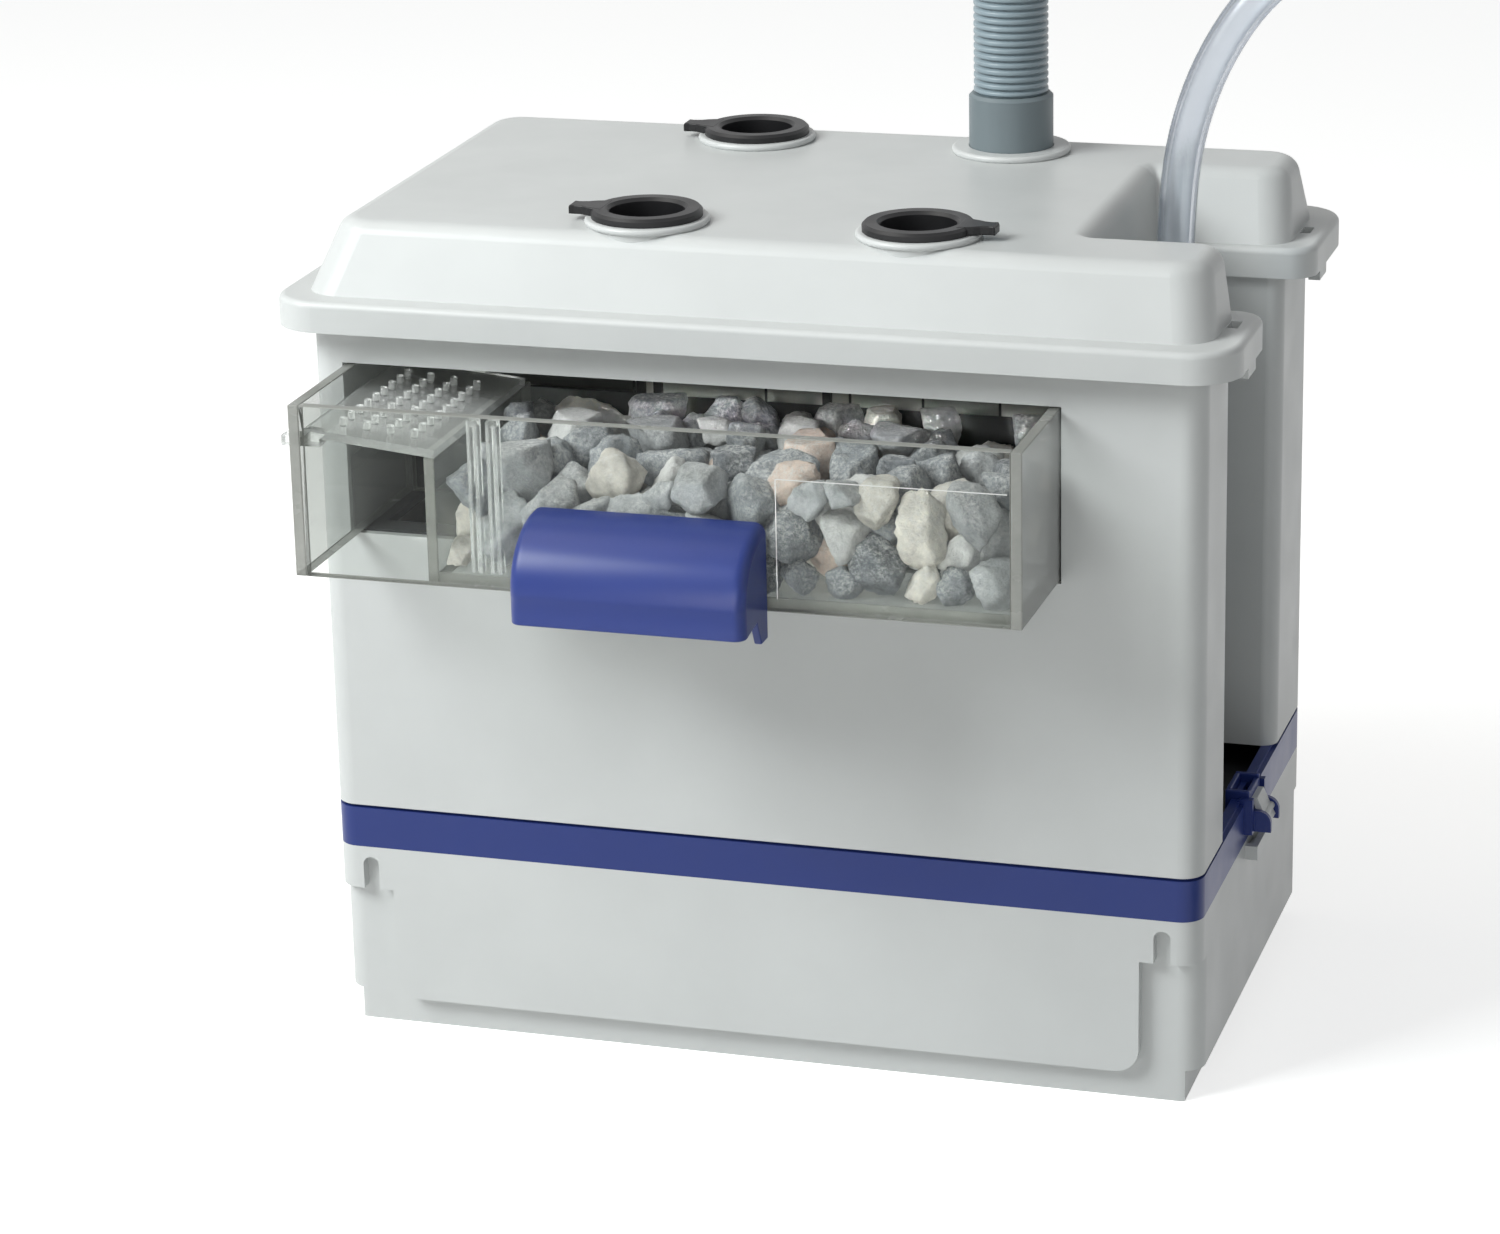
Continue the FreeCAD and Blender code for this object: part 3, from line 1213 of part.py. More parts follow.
def make_control_box():
    """Closed box for the pump's electronics."""
    body = new_body("control_box")
    sketch = new_sketch(body, shift=("0", "0", DECK_TOP))
    outline(sketch, rectangle(("box_margin-" + HALF, "box_margin+box_width-" + HALF),
                              (depth("body_depth-box_rear-box_depth"), depth("body_depth-box_rear")),
                              "wall"))
    pad(body, sketch, "box_height")
    fillet(body, "wall/2", level(DECK_TOP + "+box_height"))
    return body


def make_cable_gland():
    """Gland in the back wall with a hexagon outside and a bore for the supply cable."""
    back = value(depth("body_depth"))
    centre = Vector(value(GLAND_X), back, value(GLAND_Z))
    inward = Vector(0, -1, 0)
    barrel = Part.makeCylinder(value("gland_radius"), value("wall*3"), centre, inward)
    corners = [centre + Vector(math.cos(math.radians(60 * n)), 0, math.sin(math.radians(60 * n)))
               * value("gland_radius*1.35") for n in range(7)]
    hexagon = Part.Face(Part.makePolygon(corners)).extrude(Vector(0, value("gland_reach/2"), 0))
    snout = Part.makeCone(value("gland_radius"), value("gland_radius*0.7"), value("gland_reach"),
                          centre, Vector(0, 1, 0))
    reach = value("gland_reach+wall*4")
    bore = Part.makeCylinder(value("gland_bore"), reach * 2, centre + Vector(0, reach, 0), inward)
    gland = doc.addObject("Part::Feature", "cable_gland")
    gland.Label = "cable_gland"
    gland.Shape = barrel.multiFuse([hexagon, snout]).cut(bore).removeSplitter()
    return gland


def make_motor_screws():
    """Four screws that hold the motor's foot on the deck."""
    screws = []
    reach = "motor_radius/2+motor_foot_radius/2"
    for number in range(4):
        angle = math.radians(45 + 90 * number)
        head = doc.addObject("Part::Cylinder", "motor_screw_%d" % number)
        head.setExpression("Radius", link("screw_radius*0.8"))
        head.setExpression("Height", link("screw_height"))
        for axis, centre, ratio in (("x", PUMP[0], math.cos(angle)), ("y", PUMP[1], math.sin(angle))):
            text = "%s+%.6f*(%s)" % (link(centre), ratio, link(reach))
            head.setExpression(".Placement.Base." + axis, text)
        head.setExpression(".Placement.Base.z", link(DECK_TOP + "+motor_foot"))
        screws.append(head)
    return fuse("motor_screws", screws)


# ---------------------------------------------------------------- the whole unit

for make in (make_base_tank, make_collar, make_deck_plate, make_upper_housing, make_lid,
             make_inlet_cuff, make_inlet_hose, make_inlet_coupling, make_drawer_ribs,
             make_diffuser_plate, make_granulate, make_drawer_handle, make_drawer_guide,
             make_rear_screen, make_collector_tray, make_latch_clip, make_motor, make_shaft,
             make_impeller, make_volute, make_strainer, make_discharge_pipe, make_check_valve,
             make_valve_ball, make_hose_end, make_hose_clamp, make_discharge_hose,
             make_discharge_coil, make_float_stem, make_float, make_float_switch,
             make_control_box, make_cable_gland, make_motor_screws):
    keep(make())
for number, (spot, side) in enumerate(((INLETS[0], "-"), (INLETS[1], "-"), (INLETS[2], "+"))):
    keep(make_plug("inlet_plug_%s" % "abc"[number], spot, side))
for wall in make_drawer_walls():
    keep(wall)

doc.recompute()
for item in doc.Objects:
    if "Invalid" in item.State or "Error" in item.State:
        raise RuntimeError("%s did not build" % item.Label)
for piece in nodes:
    if piece.Shape.isNull() or not piece.Shape.isValid() or not piece.Shape.Solids:
        raise RuntimeError("%s has no valid shape" % piece.Label)

os.makedirs("parts", exist_ok=True)
for piece in nodes:
    piece.Shape.exportStep("parts/%s.step" % piece.Label)
    box = piece.Shape.BoundBox
    print("%-20s %d solid, %9.0f mm3, x %.1f..%.1f y %.1f..%.1f z %.1f..%.1f"
          % (piece.Label, len(piece.Shape.Solids), piece.Shape.Volume, box.XMin, box.XMax,
             box.YMin, box.YMax, box.ZMin, box.ZMax))
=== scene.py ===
"""Looks of a condensate lifting pump with a neutralising drawer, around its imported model.

Metres, Z up.  Most places are taken from the boxes of the CAD pieces that they belong to.
"""
import json
import math

import bmesh
import bpy
import numpy as np
from mathutils import Euler, Matrix, Vector, noise


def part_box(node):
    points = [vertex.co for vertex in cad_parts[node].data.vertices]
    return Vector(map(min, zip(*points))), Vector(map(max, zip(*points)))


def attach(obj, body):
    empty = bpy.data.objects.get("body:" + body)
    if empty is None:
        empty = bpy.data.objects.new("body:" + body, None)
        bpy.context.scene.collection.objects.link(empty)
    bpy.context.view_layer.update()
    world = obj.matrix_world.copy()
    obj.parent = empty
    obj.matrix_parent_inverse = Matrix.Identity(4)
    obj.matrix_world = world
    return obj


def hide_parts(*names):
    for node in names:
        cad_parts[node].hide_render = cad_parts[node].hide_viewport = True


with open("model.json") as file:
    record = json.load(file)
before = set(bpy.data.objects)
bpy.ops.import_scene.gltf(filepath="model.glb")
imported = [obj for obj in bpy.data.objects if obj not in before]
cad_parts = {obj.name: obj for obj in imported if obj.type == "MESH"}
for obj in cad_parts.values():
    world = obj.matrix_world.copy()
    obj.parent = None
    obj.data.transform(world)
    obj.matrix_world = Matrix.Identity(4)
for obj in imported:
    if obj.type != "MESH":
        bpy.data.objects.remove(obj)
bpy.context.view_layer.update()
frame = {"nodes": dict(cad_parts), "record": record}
MM = 0.001


# ---------------------------------------------------------------- camera, floor and lights

CAMERA_PLACE = (0.3903, -1.3079, 0.5898)
CAMERA_AZIMUTH = 17.27      # degrees to the right of the front
CAMERA_ELEVATION = 18.65    # degrees
CAMERA_ROLL = -1.28         # degrees
CAMERA_NEAR = 0.05          # what is closer isn't drawn
LENS = 111.0                # millimetres
SENSOR_WIDTH = 36.0         # millimetres

BACKDROP_SIZE = 14.0
STUDIO_COLOUR = (0.72, 0.72, 0.71)
FLOOR_GLOW = 0.66           # lifts the lit floor to white where it is seen
WORLD_COLOUR = (0.96, 0.98, 1.0)
WORLD_STRENGTH = 0.27
# Rays that see the studio as white: from the camera, off a shiny face and through clear plastic.
SEEING_RAYS = ("Is Camera Ray", "Is Glossy Ray", "Is Transmission Ray")
BEAM_SPREAD = 1.0           # degrees, of the two narrow lamps


def make_camera():
    azimuth = math.radians(CAMERA_AZIMUTH)
    rise = math.radians(CAMERA_ELEVATION)
    level = math.cos(rise)
    back = Vector((math.sin(azimuth) * level, -math.cos(azimuth) * level, math.sin(rise)))
    camera = bpy.data.objects.new("camera", bpy.data.cameras.new("camera"))
    bpy.context.collection.objects.link(camera)
    camera.data.lens = LENS
    camera.data.sensor_width = SENSOR_WIDTH
    camera.data.clip_start = CAMERA_NEAR
    camera.rotation_mode = "QUATERNION"
    roll = Matrix.Rotation(math.radians(CAMERA_ROLL), 4, back)
    aim = (-back).to_track_quat("-Z", "Y").to_matrix().to_4x4()
    camera.matrix_world = Matrix.Translation(CAMERA_PLACE) @ roll @ aim
    bpy.context.scene.camera = camera


def node_of(tree, kind, **settings):
    """New shader node; settings name its inputs, with _ for a space, or its own properties."""
    node = tree.nodes.new(kind)
    for name, setting in settings.items():
        socket = node.inputs.get(name.replace("_", " "))
        if socket is not None and not hasattr(node, name):
            socket.default_value = setting
        else:
            setattr(node, name, setting)
    return node


def empty_material(name):
    material = bpy.data.materials.new(name)
    material.use_nodes = True
    material.node_tree.nodes.clear()
    return material, material.node_tree


def calculate(tree, operation, *terms, clamp=False):
    """Result of a Math node; each term is a number or another node's output."""
    node = node_of(tree, "ShaderNodeMath", operation=operation, use_clamp=clamp)
    for term, socket in zip(terms, node.inputs):
        if isinstance(term, (int, float)):
            socket.default_value = term
        else:
            tree.links.new(term, socket)
    return node.outputs[0]


def any_ray(tree, *kinds):
    """1 for a ray of one of these kinds, 0 for all others."""
    path = tree.nodes.new("ShaderNodeLightPath")
    share = path.outputs[kinds[0]]
    for kind in kinds[1:]:
        share = calculate(tree, "MAXIMUM", share, path.outputs[kind])
    return share


def mixed_shader(tree, share, first, second):
    """The second shader in this share, the first in the rest."""
    mix = tree.nodes.new("ShaderNodeMixShader")
    for source, socket in zip((share, first.outputs[0], second.outputs[0]), mix.inputs):
        tree.links.new(source, socket)
    return mix


def surface(tree, shader, output="ShaderNodeOutputMaterial"):
    tree.links.new(shader.outputs[0], tree.nodes.new(output).inputs["Surface"])


def seen_as_white(name, colour):
    """White to the rays that see it, with the shadow kept; pale to the rest."""
    material, tree = empty_material(name)
    diffuse = node_of(tree, "ShaderNodeBsdfDiffuse", Color=(*colour, 1.0))
    glow = node_of(tree, "ShaderNodeEmission", Strength=FLOOR_GLOW)
    both = tree.nodes.new("ShaderNodeAddShader")
    tree.links.new(diffuse.outputs[0], both.inputs[0])
    tree.links.new(glow.outputs[0], both.inputs[1])
    surface(tree, mixed_shader(tree, any_ray(tree, *SEEING_RAYS), diffuse, both))
    return material


def plane(name, size, place, turn=(0, 0, 0)):
    bpy.ops.mesh.primitive_plane_add(size=size, location=place, rotation=turn)
    made = bpy.context.object
    made.name = name
    return made


def make_stage():
    floor = plane("floor", BACKDROP_SIZE, (0, 0, 0))
    backdrop = plane("backdrop", BACKDROP_SIZE, (0, BACKDROP_SIZE / 2, 0), (math.pi / 2, 0, 0))
    material = seen_as_white("pale_studio", STUDIO_COLOUR)
    for piece in (floor, backdrop):
        piece.data.materials.append(material)


def area_light(name, place, target, size, power, tint=(1.0, 1.0, 1.0)):
    light = bpy.data.lights.new(name, "AREA")
    light.shape = "RECTANGLE"
    light.size, light.size_y = size
    light.energy = power
    light.color = tint
    lamp = bpy.data.objects.new(name, light)
    bpy.context.collection.objects.link(lamp)
    lamp.location = place
    lamp.rotation_euler = (Vector(target) - Vector(place)).to_track_quat("-Z", "Y").to_euler()
    return lamp


def make_lights():
    """Four large lamps, and two weak narrow ones that reach into the drawer's opening."""
    middle = (0.0, 0.0, 0.15)
    area_light("key", (-0.9, -0.85, 1.15), middle, size=(0.8, 0.7), power=24.5,
               tint=(0.965, 1.0, 1.0))
    area_light("top", (-0.7, -0.1, 1.5), middle, size=(0.9, 0.9), power=4.0,
               tint=(1.0, 0.95, 0.86))
    area_light("front", (0.3, -2.2, 0.62), (0.0, -0.05, 0.20), size=(1.2, 0.7), power=5.2)
    area_light("side", (1.9, -0.5, 0.9), middle, size=(1.2, 1.4), power=1.15,
               tint=(1.0, 0.99, 0.95))
    # The first is aimed over the stones at the cream panel, the second level at the stones.
    strip = area_light("drawer_strip", (0.012, -0.40, 0.3129), (0.012, 0.0434, 0.1812),
                       size=(0.15, 0.0075), power=0.003)
    fill = area_light("drawer_fill", (-0.012, -0.40, 0.182), (-0.012, 0.0, 0.182),
                      size=(0.19, 0.040), power=0.007)
    for lamp in (strip, fill):
        lamp.data.spread = math.radians(BEAM_SPREAD)


def make_world():
    """White to the rays that see it, a dim light from all sides to the rest."""
    world = bpy.data.worlds.new("studio")
    world.use_nodes = True
    bpy.context.scene.world = world
    tree = world.node_tree
    tree.nodes.clear()
    dim = node_of(tree, "ShaderNodeBackground", Color=(*WORLD_COLOUR, 1.0),
                  Strength=WORLD_STRENGTH)
    white = node_of(tree, "ShaderNodeBackground", Color=(1, 1, 1, 1), Strength=1.0)
    surface(tree, mixed_shader(tree, any_ray(tree, *SEEING_RAYS), dim, white),
            "ShaderNodeOutputWorld")


make_camera()
make_stage()
make_lights()
make_world()
bpy.context.scene.view_settings.view_transform = "Standard"


# ---------------------------------------------------------------- routes of the hoses

HOSE_RADIUS = 0.0057
HOSE_BORE = 0.00405         # radius
HOSE_SIDES = 20
ROUTE_RESOLUTION = 5        # points along the curve for each control point
# Route of the clear hose, in metres: (aside, up) from the valve's nozzle, which it rises from,
# then (aside, ahead, height over the floor) while it drops forward to the coil.
HOSE_RISE = [(0, 0), (-0.0005, 0.054), (-0.0006, 0.109), (0.0004, 0.156), (0.0035, 0.178),
             (0.0115, 0.200), (0.0255, 0.221), (0.0455, 0.234), (0.0685, 0.237), (0.0925, 0.231),
             (0.1135, 0.216), (0.1285, 0.192), (0.1385, 0.156), (0.1435, 0.109), (0.146, 0.059)]
HOSE_FALL = [(0.1471, 0.001, 0.125), (0.1475, 0.009, 0.095), (0.1477, 0.027, 0.072),
             (0.148, 0.052, 0.055), (0.1487, 0.078, 0.0445), (0.150, 0.100, 0.0415)]

COIL_STEPS = 16             # control points in a turn
COIL_PITCH = 0.0116         # from turn to turn, across and down
COIL_COLUMNS = 4
COIL_TURNS = 10.15
COIL_START = 185.0          # degrees, where the hose comes over the top turns
COIL_ENTRY = 0.0122         # how much higher the hose is where it comes over them
COIL_MARGIN = 0.0002        # between the outermost turn and the edge of the CAD ring
FLOOR_GAP = 0.0001
# Quarter turns in which the hose changes its column (+1 outwards) or its layer (-1 down).
COLUMN_STEPS = {0.75: 1, 1.75: 1, 2.75: 1, 4.25: -1, 5.25: -1, 6.25: -1,
                7.75: 1, 8.75: 1, 9.75: 1}
LAYER_STEPS = {3.5: -1, 7.0: -1}


def smooth(share):
    share = max(0.0, min(1.0, share))
    return share * share * (3 - 2 * share)


def gone(steps, turn):
    """Sum of the steps up to this turn; each takes a quarter of a turn."""
    return sum(size * smooth((turn - start) * 4) for start, size in steps.items())


def coil_points():
    """Control points of the wound turns: three layers, filled outwards, inwards and outwards."""
    low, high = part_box("discharge_coil")
    centre = (low + high) / 2
    outermost = (high.x - low.x) / 2 - HOSE_RADIUS - COIL_MARGIN
    innermost = outermost - (COIL_COLUMNS - 1) * COIL_PITCH
    over = innermost + 1.5 * COIL_PITCH
    top = HOSE_RADIUS + FLOOR_GAP + 2 * COIL_PITCH
    # The curve runs inside its control points, at this share of their radius.
    polygon = 0.75 + 0.25 * math.cos(math.tau / COIL_STEPS)
    points = []
    for step in range(round((COIL_TURNS + 0.25) * COIL_STEPS)):
        turn = step / COIL_STEPS - 0.25
        inward = smooth((turn + 0.25) * 4)
        radius = over + (innermost - over) * inward + gone(COLUMN_STEPS, turn) * COIL_PITCH
        height = top + gone(LAYER_STEPS, turn) * COIL_PITCH
        height += COIL_ENTRY * (1 - smooth(turn * 4))
        angle = math.radians(COIL_START) + math.tau * (turn + 0.25)
        points.append(Vector((centre.x + math.cos(angle) * radius / polygon,
                              centre.y + math.sin(angle) * radius / polygon, height)))
    return points


def nurbs(name, points, resolution):
    """NURBS curve with these control points, and the points along it as a list."""
    curve = bpy.data.curves.new(name, "CURVE")
    curve.dimensions = "3D"
    curve.resolution_u = resolution
    spline = curve.splines.new("NURBS")
    spline.points.add(len(points) - 1)
    for point, place in zip(spline.points, points):
        point.co = (*place, 1.0)
    spline.order_u = 3
    spline.use_endpoint_u = True
    route = bpy.data.objects.new(name, curve)
    bpy.context.collection.objects.link(route)
    bpy.context.view_layer.update()
    line = bpy.data.meshes.new_from_object(route)
    along = [vertex.co.copy() for vertex in line.vertices]
    bpy.data.objects.remove(route)
    bpy.data.curves.remove(curve)
    bpy.data.meshes.remove(line)
    return along


def add_mesh(name, vertices, faces, smooth_faces=True):
    mesh = bpy.data.meshes.new(name)
    mesh.from_pydata([tuple(v) for v in vertices], [], faces)
    mesh.validate()
    mesh.polygons.foreach_set("use_smooth", [smooth_faces] * len(mesh.polygons))
    piece = bpy.data.objects.new(name, mesh)
    bpy.context.collection.objects.link(piece)
    return piece


def rings_along(path, radii, sides):
    """Rings of points round a path, carried along it without twist."""
    rings = []
    across = None
    for i, point in enumerate(path):
        ahead = (path[min(i + 1, len(path) - 1)] - path[max(i - 1, 0)]).normalized()
        if across is None:
            across = ahead.orthogonal().normalized()
        across = (across - ahead * across.dot(ahead)).normalized()
        up = ahead.cross(across)
        rings.append([point + (across * math.cos(math.tau * n / sides)
                               + up * math.sin(math.tau * n / sides)) * radii[i]
                      for n in range(sides)])
    return rings


def hollow_tube(name, path, outer, inner, sides):
    """Closed skin of a hose: outside, bore and both cut ends; outer and inner are radii by ring."""
    loops = rings_along(path, outer, sides) + rings_along(path, inner, sides)[::-1]
    vertices = [point for loop in loops for point in loop]
    faces = []
    for ring in range(len(loops)):
        after = (ring + 1) % len(loops)
        for n in range(sides):
            m = (n + 1) % sides
            faces.append((ring * sides + n, ring * sides + m, after * sides + m, after * sides + n))
    return add_mesh(name, vertices, faces)


def make_discharge_hose():
    """Clear hose from the valve's nozzle over the side and down to its coil on the floor."""
    low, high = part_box("check_valve")
    nozzle = Vector(((low.x + high.x) / 2, (low.y + high.y) / 2, high.z))
    rise = [nozzle + Vector((aside, 0, up)) for aside, up in HOSE_RISE]
    fall = [Vector((nozzle.x + aside, nozzle.y - ahead, height))
            for aside, ahead, height in HOSE_FALL]
    path = nurbs("discharge_route", rise + fall + coil_points(), ROUTE_RESOLUTION)
    hose = hollow_tube("clear_hose", path, [HOSE_RADIUS] * len(path),
                       [HOSE_BORE] * len(path), HOSE_SIDES)
    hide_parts("discharge_hose", "discharge_coil")
    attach(hose, "casing")
    return hose


RIDGE_PITCH = 0.0023
RIDGE_DEPTH = 0.0018
RIDGE_RINGS = 8             # rings in one ridge
RIDGE_NARROWNESS = 5        # the higher, the narrower the grooves between the ridges
INLET_BORE = 0.0099         # radius
INLET_SIDES = 40
RIDGE_MARGIN = 0.0006       # from the ends of the CAD hose to the first and last ridge
PLAIN_DEPTH = 0.0013        # how much thinner the hose is beyond those ridges
CUFF_DEPTH = 0.0015         # from the lid's top down to the hose's lower end
SLEEVE_DEPTH = 0.0006       # from the sleeve's top down to its upper end


def make_inlet_hose():
    """Corrugated hose between its cuff in the lid and the sleeve at its top."""
    low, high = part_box("inlet_hose")
    centre = (low + high) / 2
    radius = (high.x - low.x) / 2
    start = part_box("lid")[1].z - CUFF_DEPTH
    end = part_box("inlet_coupling")[1].z - SLEEVE_DEPTH
    count = round((end - start) / RIDGE_PITCH * RIDGE_RINGS)
    foot, top = Vector((centre.x, centre.y, start)), Vector((centre.x, centre.y, end))
    path = [foot.lerp(top, n / count) for n in range(count + 1)]
    outer = []
    for point in path:
        inside = low.z + RIDGE_MARGIN < point.z < high.z - RIDGE_MARGIN
        wave = 0.5 + 0.5 * math.cos(math.tau * (point.z - low.z) / RIDGE_PITCH)
        groove = RIDGE_DEPTH * wave ** RIDGE_NARROWNESS if inside else PLAIN_DEPTH
        outer.append(radius - groove)
    hose = hollow_tube("corrugated_hose", path, outer, [INLET_BORE] * len(path), INLET_SIDES)
    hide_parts("inlet_hose")
    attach(hose, "lid_unit")
    return hose


clear_hose = make_discharge_hose()
corrugated_hose = make_inlet_hose()


# ---------------------------------------------------------------- materials

TONE_SPREAD = 0.03          # how far a moulded piece's tone varies to either side
PLASTIC_IOR = 1.49


def object_place(tree):
    return tree.nodes.new("ShaderNodeTexCoord").outputs["Object"]


def noise_texture(tree, place, scale, detail=4.0, rough=0.5):
    texture = node_of(tree, "ShaderNodeTexNoise", Scale=scale, Detail=detail, Roughness=rough)
    tree.links.new(place, texture.inputs["Vector"])
    return texture.outputs["Fac"]


def ramp(tree, factor, stops):
    """Colour ramp through (position, colour or grey) stops."""
    made = tree.nodes.new("ShaderNodeValToRGB")
    elements = made.color_ramp.elements
    while len(elements) < len(stops):
        elements.new(0.5)
    for element, (position, colour) in zip(elements, stops):
        element.position = position
        colour = (colour,) * 3 if isinstance(colour, (int, float)) else colour
        element.color = (*colour, 1.0)
    tree.links.new(factor, made.inputs["Fac"])
    return made.outputs["Color"]


def shade(colour, factor):
    return tuple(min(1.0, part * factor) for part in colour)


def plastic(name, colour, roughness, grain=2600.0, depth=0.012, wear=0.0, gloss=0.5):
    """Moulded plastic: faint cloudy tone, fine spark-eroded grain and uneven gloss."""
    material, tree = empty_material(name)
    link = tree.links.new
    place = object_place(tree)
    tone = ramp(tree, noise_texture(tree, place, 22.0, 3.0),
                [(0.3, shade(colour, 1 - TONE_SPREAD)), (0.7, shade(colour, 1 + TONE_SPREAD))])
    if wear:
        flecks = noise_texture(tree, place, 900.0, 6.0, 0.7)
        mixed = node_of(tree, "ShaderNodeMix", data_type="RGBA")
        link(ramp(tree, flecks, [(0.66, 0.0), (0.8, wear)]), mixed.inputs["Factor"])
        link(tone, mixed.inputs["A"])
        mixed.inputs["B"].default_value = (*shade(colour, 2.2), 1.0)
        tone = mixed.outputs["Result"]
    shader = node_of(tree, "ShaderNodeBsdfPrincipled", IOR=PLASTIC_IOR, Specular_IOR_Level=gloss)
    link(tone, shader.inputs["Base Color"])
    sheen = noise_texture(tree, place, 60.0, 5.0)
    link(ramp(tree, sheen, [(0.3, roughness * 0.88), (0.7, roughness * 1.12)]),
         shader.inputs["Roughness"])
    bump = node_of(tree, "ShaderNodeBump", Strength=depth * 10, Distance=0.1 * MM)
    link(noise_texture(tree, place, grain, 2.0), bump.inputs["Height"])
    link(bump.outputs["Normal"], shader.inputs["Normal"])
    surface(tree, shader)
    return material


def clear(name, colour, ior, roughness, shadow, ripple=0.0, clearness=1.0, rim=None):
    """Clear plastic that lets the lamps' light through, tinted as its shadow is.

    The rim is its colour at a slant, where the light goes further through the wall.
    """
    material, tree = empty_material(name)
    link = tree.links.new
    place = object_place(tree)
    shader = node_of(tree, "ShaderNodeBsdfPrincipled", IOR=ior, Transmission_Weight=clearness,
                     Base_Color=(*colour, 1.0))
    if rim:
        slant = tree.nodes.new("ShaderNodeLayerWeight").outputs["Facing"]
        link(ramp(tree, slant, [(0.2, colour), (0.55, rim)]), shader.inputs["Base Color"])
    smear = noise_texture(tree, place, 45.0, 4.0)
    link(ramp(tree, smear, [(0.4, roughness), (0.75, roughness * 2.5)]), shader.inputs["Roughness"])
    if ripple:
        bump = node_of(tree, "ShaderNodeBump", Strength=ripple, Distance=0.2 * MM)
        link(noise_texture(tree, place, 120.0, 2.0), bump.inputs["Height"])
        link(bump.outputs["Normal"], shader.inputs["Normal"])
    through = node_of(tree, "ShaderNodeBsdfTransparent", Color=(*shadow, 1.0))
    lamps = any_ray(tree, "Is Shadow Ray", "Is Diffuse Ray")
    surface(tree, mixed_shader(tree, lamps, shader, through))
    return material


def sheet(name, tint, haze, film=(0.72, 0.73, 0.72), gloss=0.05, steepness=4.0):
    """Clear plastic seen without bending: a little hazy, and less clear at a slant."""
    material, tree = empty_material(name)
    place = object_place(tree)
    shader = node_of(tree, "ShaderNodeBsdfPrincipled", IOR=PLASTIC_IOR, Base_Color=(*film, 1.0))
    smear = noise_texture(tree, place, 60.0, 5.0)
    tree.links.new(ramp(tree, smear, [(0.35, gloss), (0.8, gloss * 3)]),
                   shader.inputs["Roughness"])
    through = node_of(tree, "ShaderNodeBsdfTransparent", Color=(*tint, 1.0))
    slant = tree.nodes.new("ShaderNodeLayerWeight").outputs["Facing"]
    clouds = ramp(tree, noise_texture(tree, place, 25.0, 6.0, 0.7),
                  [(0.3, haze * 0.8), (0.75, haze * 1.2)])
    share = calculate(tree, "ADD", calculate(tree, "POWER", slant, steepness), clouds, clamp=True)
    surface(tree, mixed_shader(tree, share, through, shader))
    return material


def metal(name, colour, roughness):
    """Bare steel with fine turning marks."""
    material, tree = empty_material(name)
    shader = node_of(tree, "ShaderNodeBsdfPrincipled", Metallic=1.0, Base_Color=(*colour, 1.0))
    marks = noise_texture(tree, object_place(tree), 700.0, 5.0)
    tree.links.new(ramp(tree, marks, [(0.3, roughness * 0.7), (0.7, roughness * 1.4)]),
                   shader.inputs["Roughness"])
    surface(tree, shader)
    return material


# Pale dust, which also serves as painted light on the stones' upward faces.
DUST_AND_LIGHT_COLOUR = (0.82, 0.82, 0.81)


def marble(name):
    """Broken marble: each stone's own tint, cloudy veins, pale dust (partly painted light) and a
    sugary grain.
    """
    material, tree = empty_material(name)
    link = tree.links.new
    place = object_place(tree)
    tint = node_of(tree, "ShaderNodeAttribute", attribute_name="tint").outputs["Color"]
    veins = noise_texture(tree, place, 160.0, 6.0, 0.65)
    veined = node_of(tree, "ShaderNodeMix", data_type="RGBA", blend_type="MULTIPLY")
    veined.inputs["Factor"].default_value = 1.0
    link(tint, veined.inputs["A"])
    link(ramp(tree, veins, [(0.32, 0.72), (0.5, 1.0), (0.68, 1.22)]), veined.inputs["B"])

    # Dust lies on what faces upwards, in patches, as fine powder; on upward faces it is partly
    # painted light.
    way = tree.nodes.new("ShaderNodeSeparateXYZ")
    link(tree.nodes.new("ShaderNodeNewGeometry").outputs["Normal"], way.inputs[0])
    settled_and_lit = calculate(tree, "MULTIPLY_ADD", way.outputs["Z"], 0.45, 0.5, clamp=True)
    patches = ramp(tree, noise_texture(tree, place, 130.0, 3.0, 0.6), [(0.35, 0.25), (0.6, 1.0)])
    powder = ramp(tree, noise_texture(tree, place, 850.0, 8.0, 0.8), [(0.44, 0.04), (0.6, 1.0)])
    dust_and_light = node_of(tree, "ShaderNodeMix", data_type="RGBA")
    link(calculate(tree, "MULTIPLY", powder, calculate(tree, "MULTIPLY", patches, settled_and_lit)),
         dust_and_light.inputs["Factor"])
    link(veined.outputs["Result"], dust_and_light.inputs["A"])
    dust_and_light.inputs["B"].default_value = (*DUST_AND_LIGHT_COLOUR, 1.0)
    shader = node_of(tree, "ShaderNodeBsdfPrincipled", IOR=1.5, Roughness=0.72)
    link(dust_and_light.outputs["Result"], shader.inputs["Base Color"])

    chips = node_of(tree, "ShaderNodeBump", Strength=1.0, Distance=1.1 * MM)
    link(noise_texture(tree, place, 260.0, 9.0, 0.72), chips.inputs["Height"])
    grains = node_of(tree, "ShaderNodeBump", Strength=1.0, Distance=0.5 * MM)
    link(noise_texture(tree, place, 1100.0, 6.0, 0.7), grains.inputs["Height"])
    link(chips.outputs["Normal"], grains.inputs["Normal"])
    link(grains.outputs["Normal"], shader.inputs["Normal"])
    surface(tree, shader)
    return material


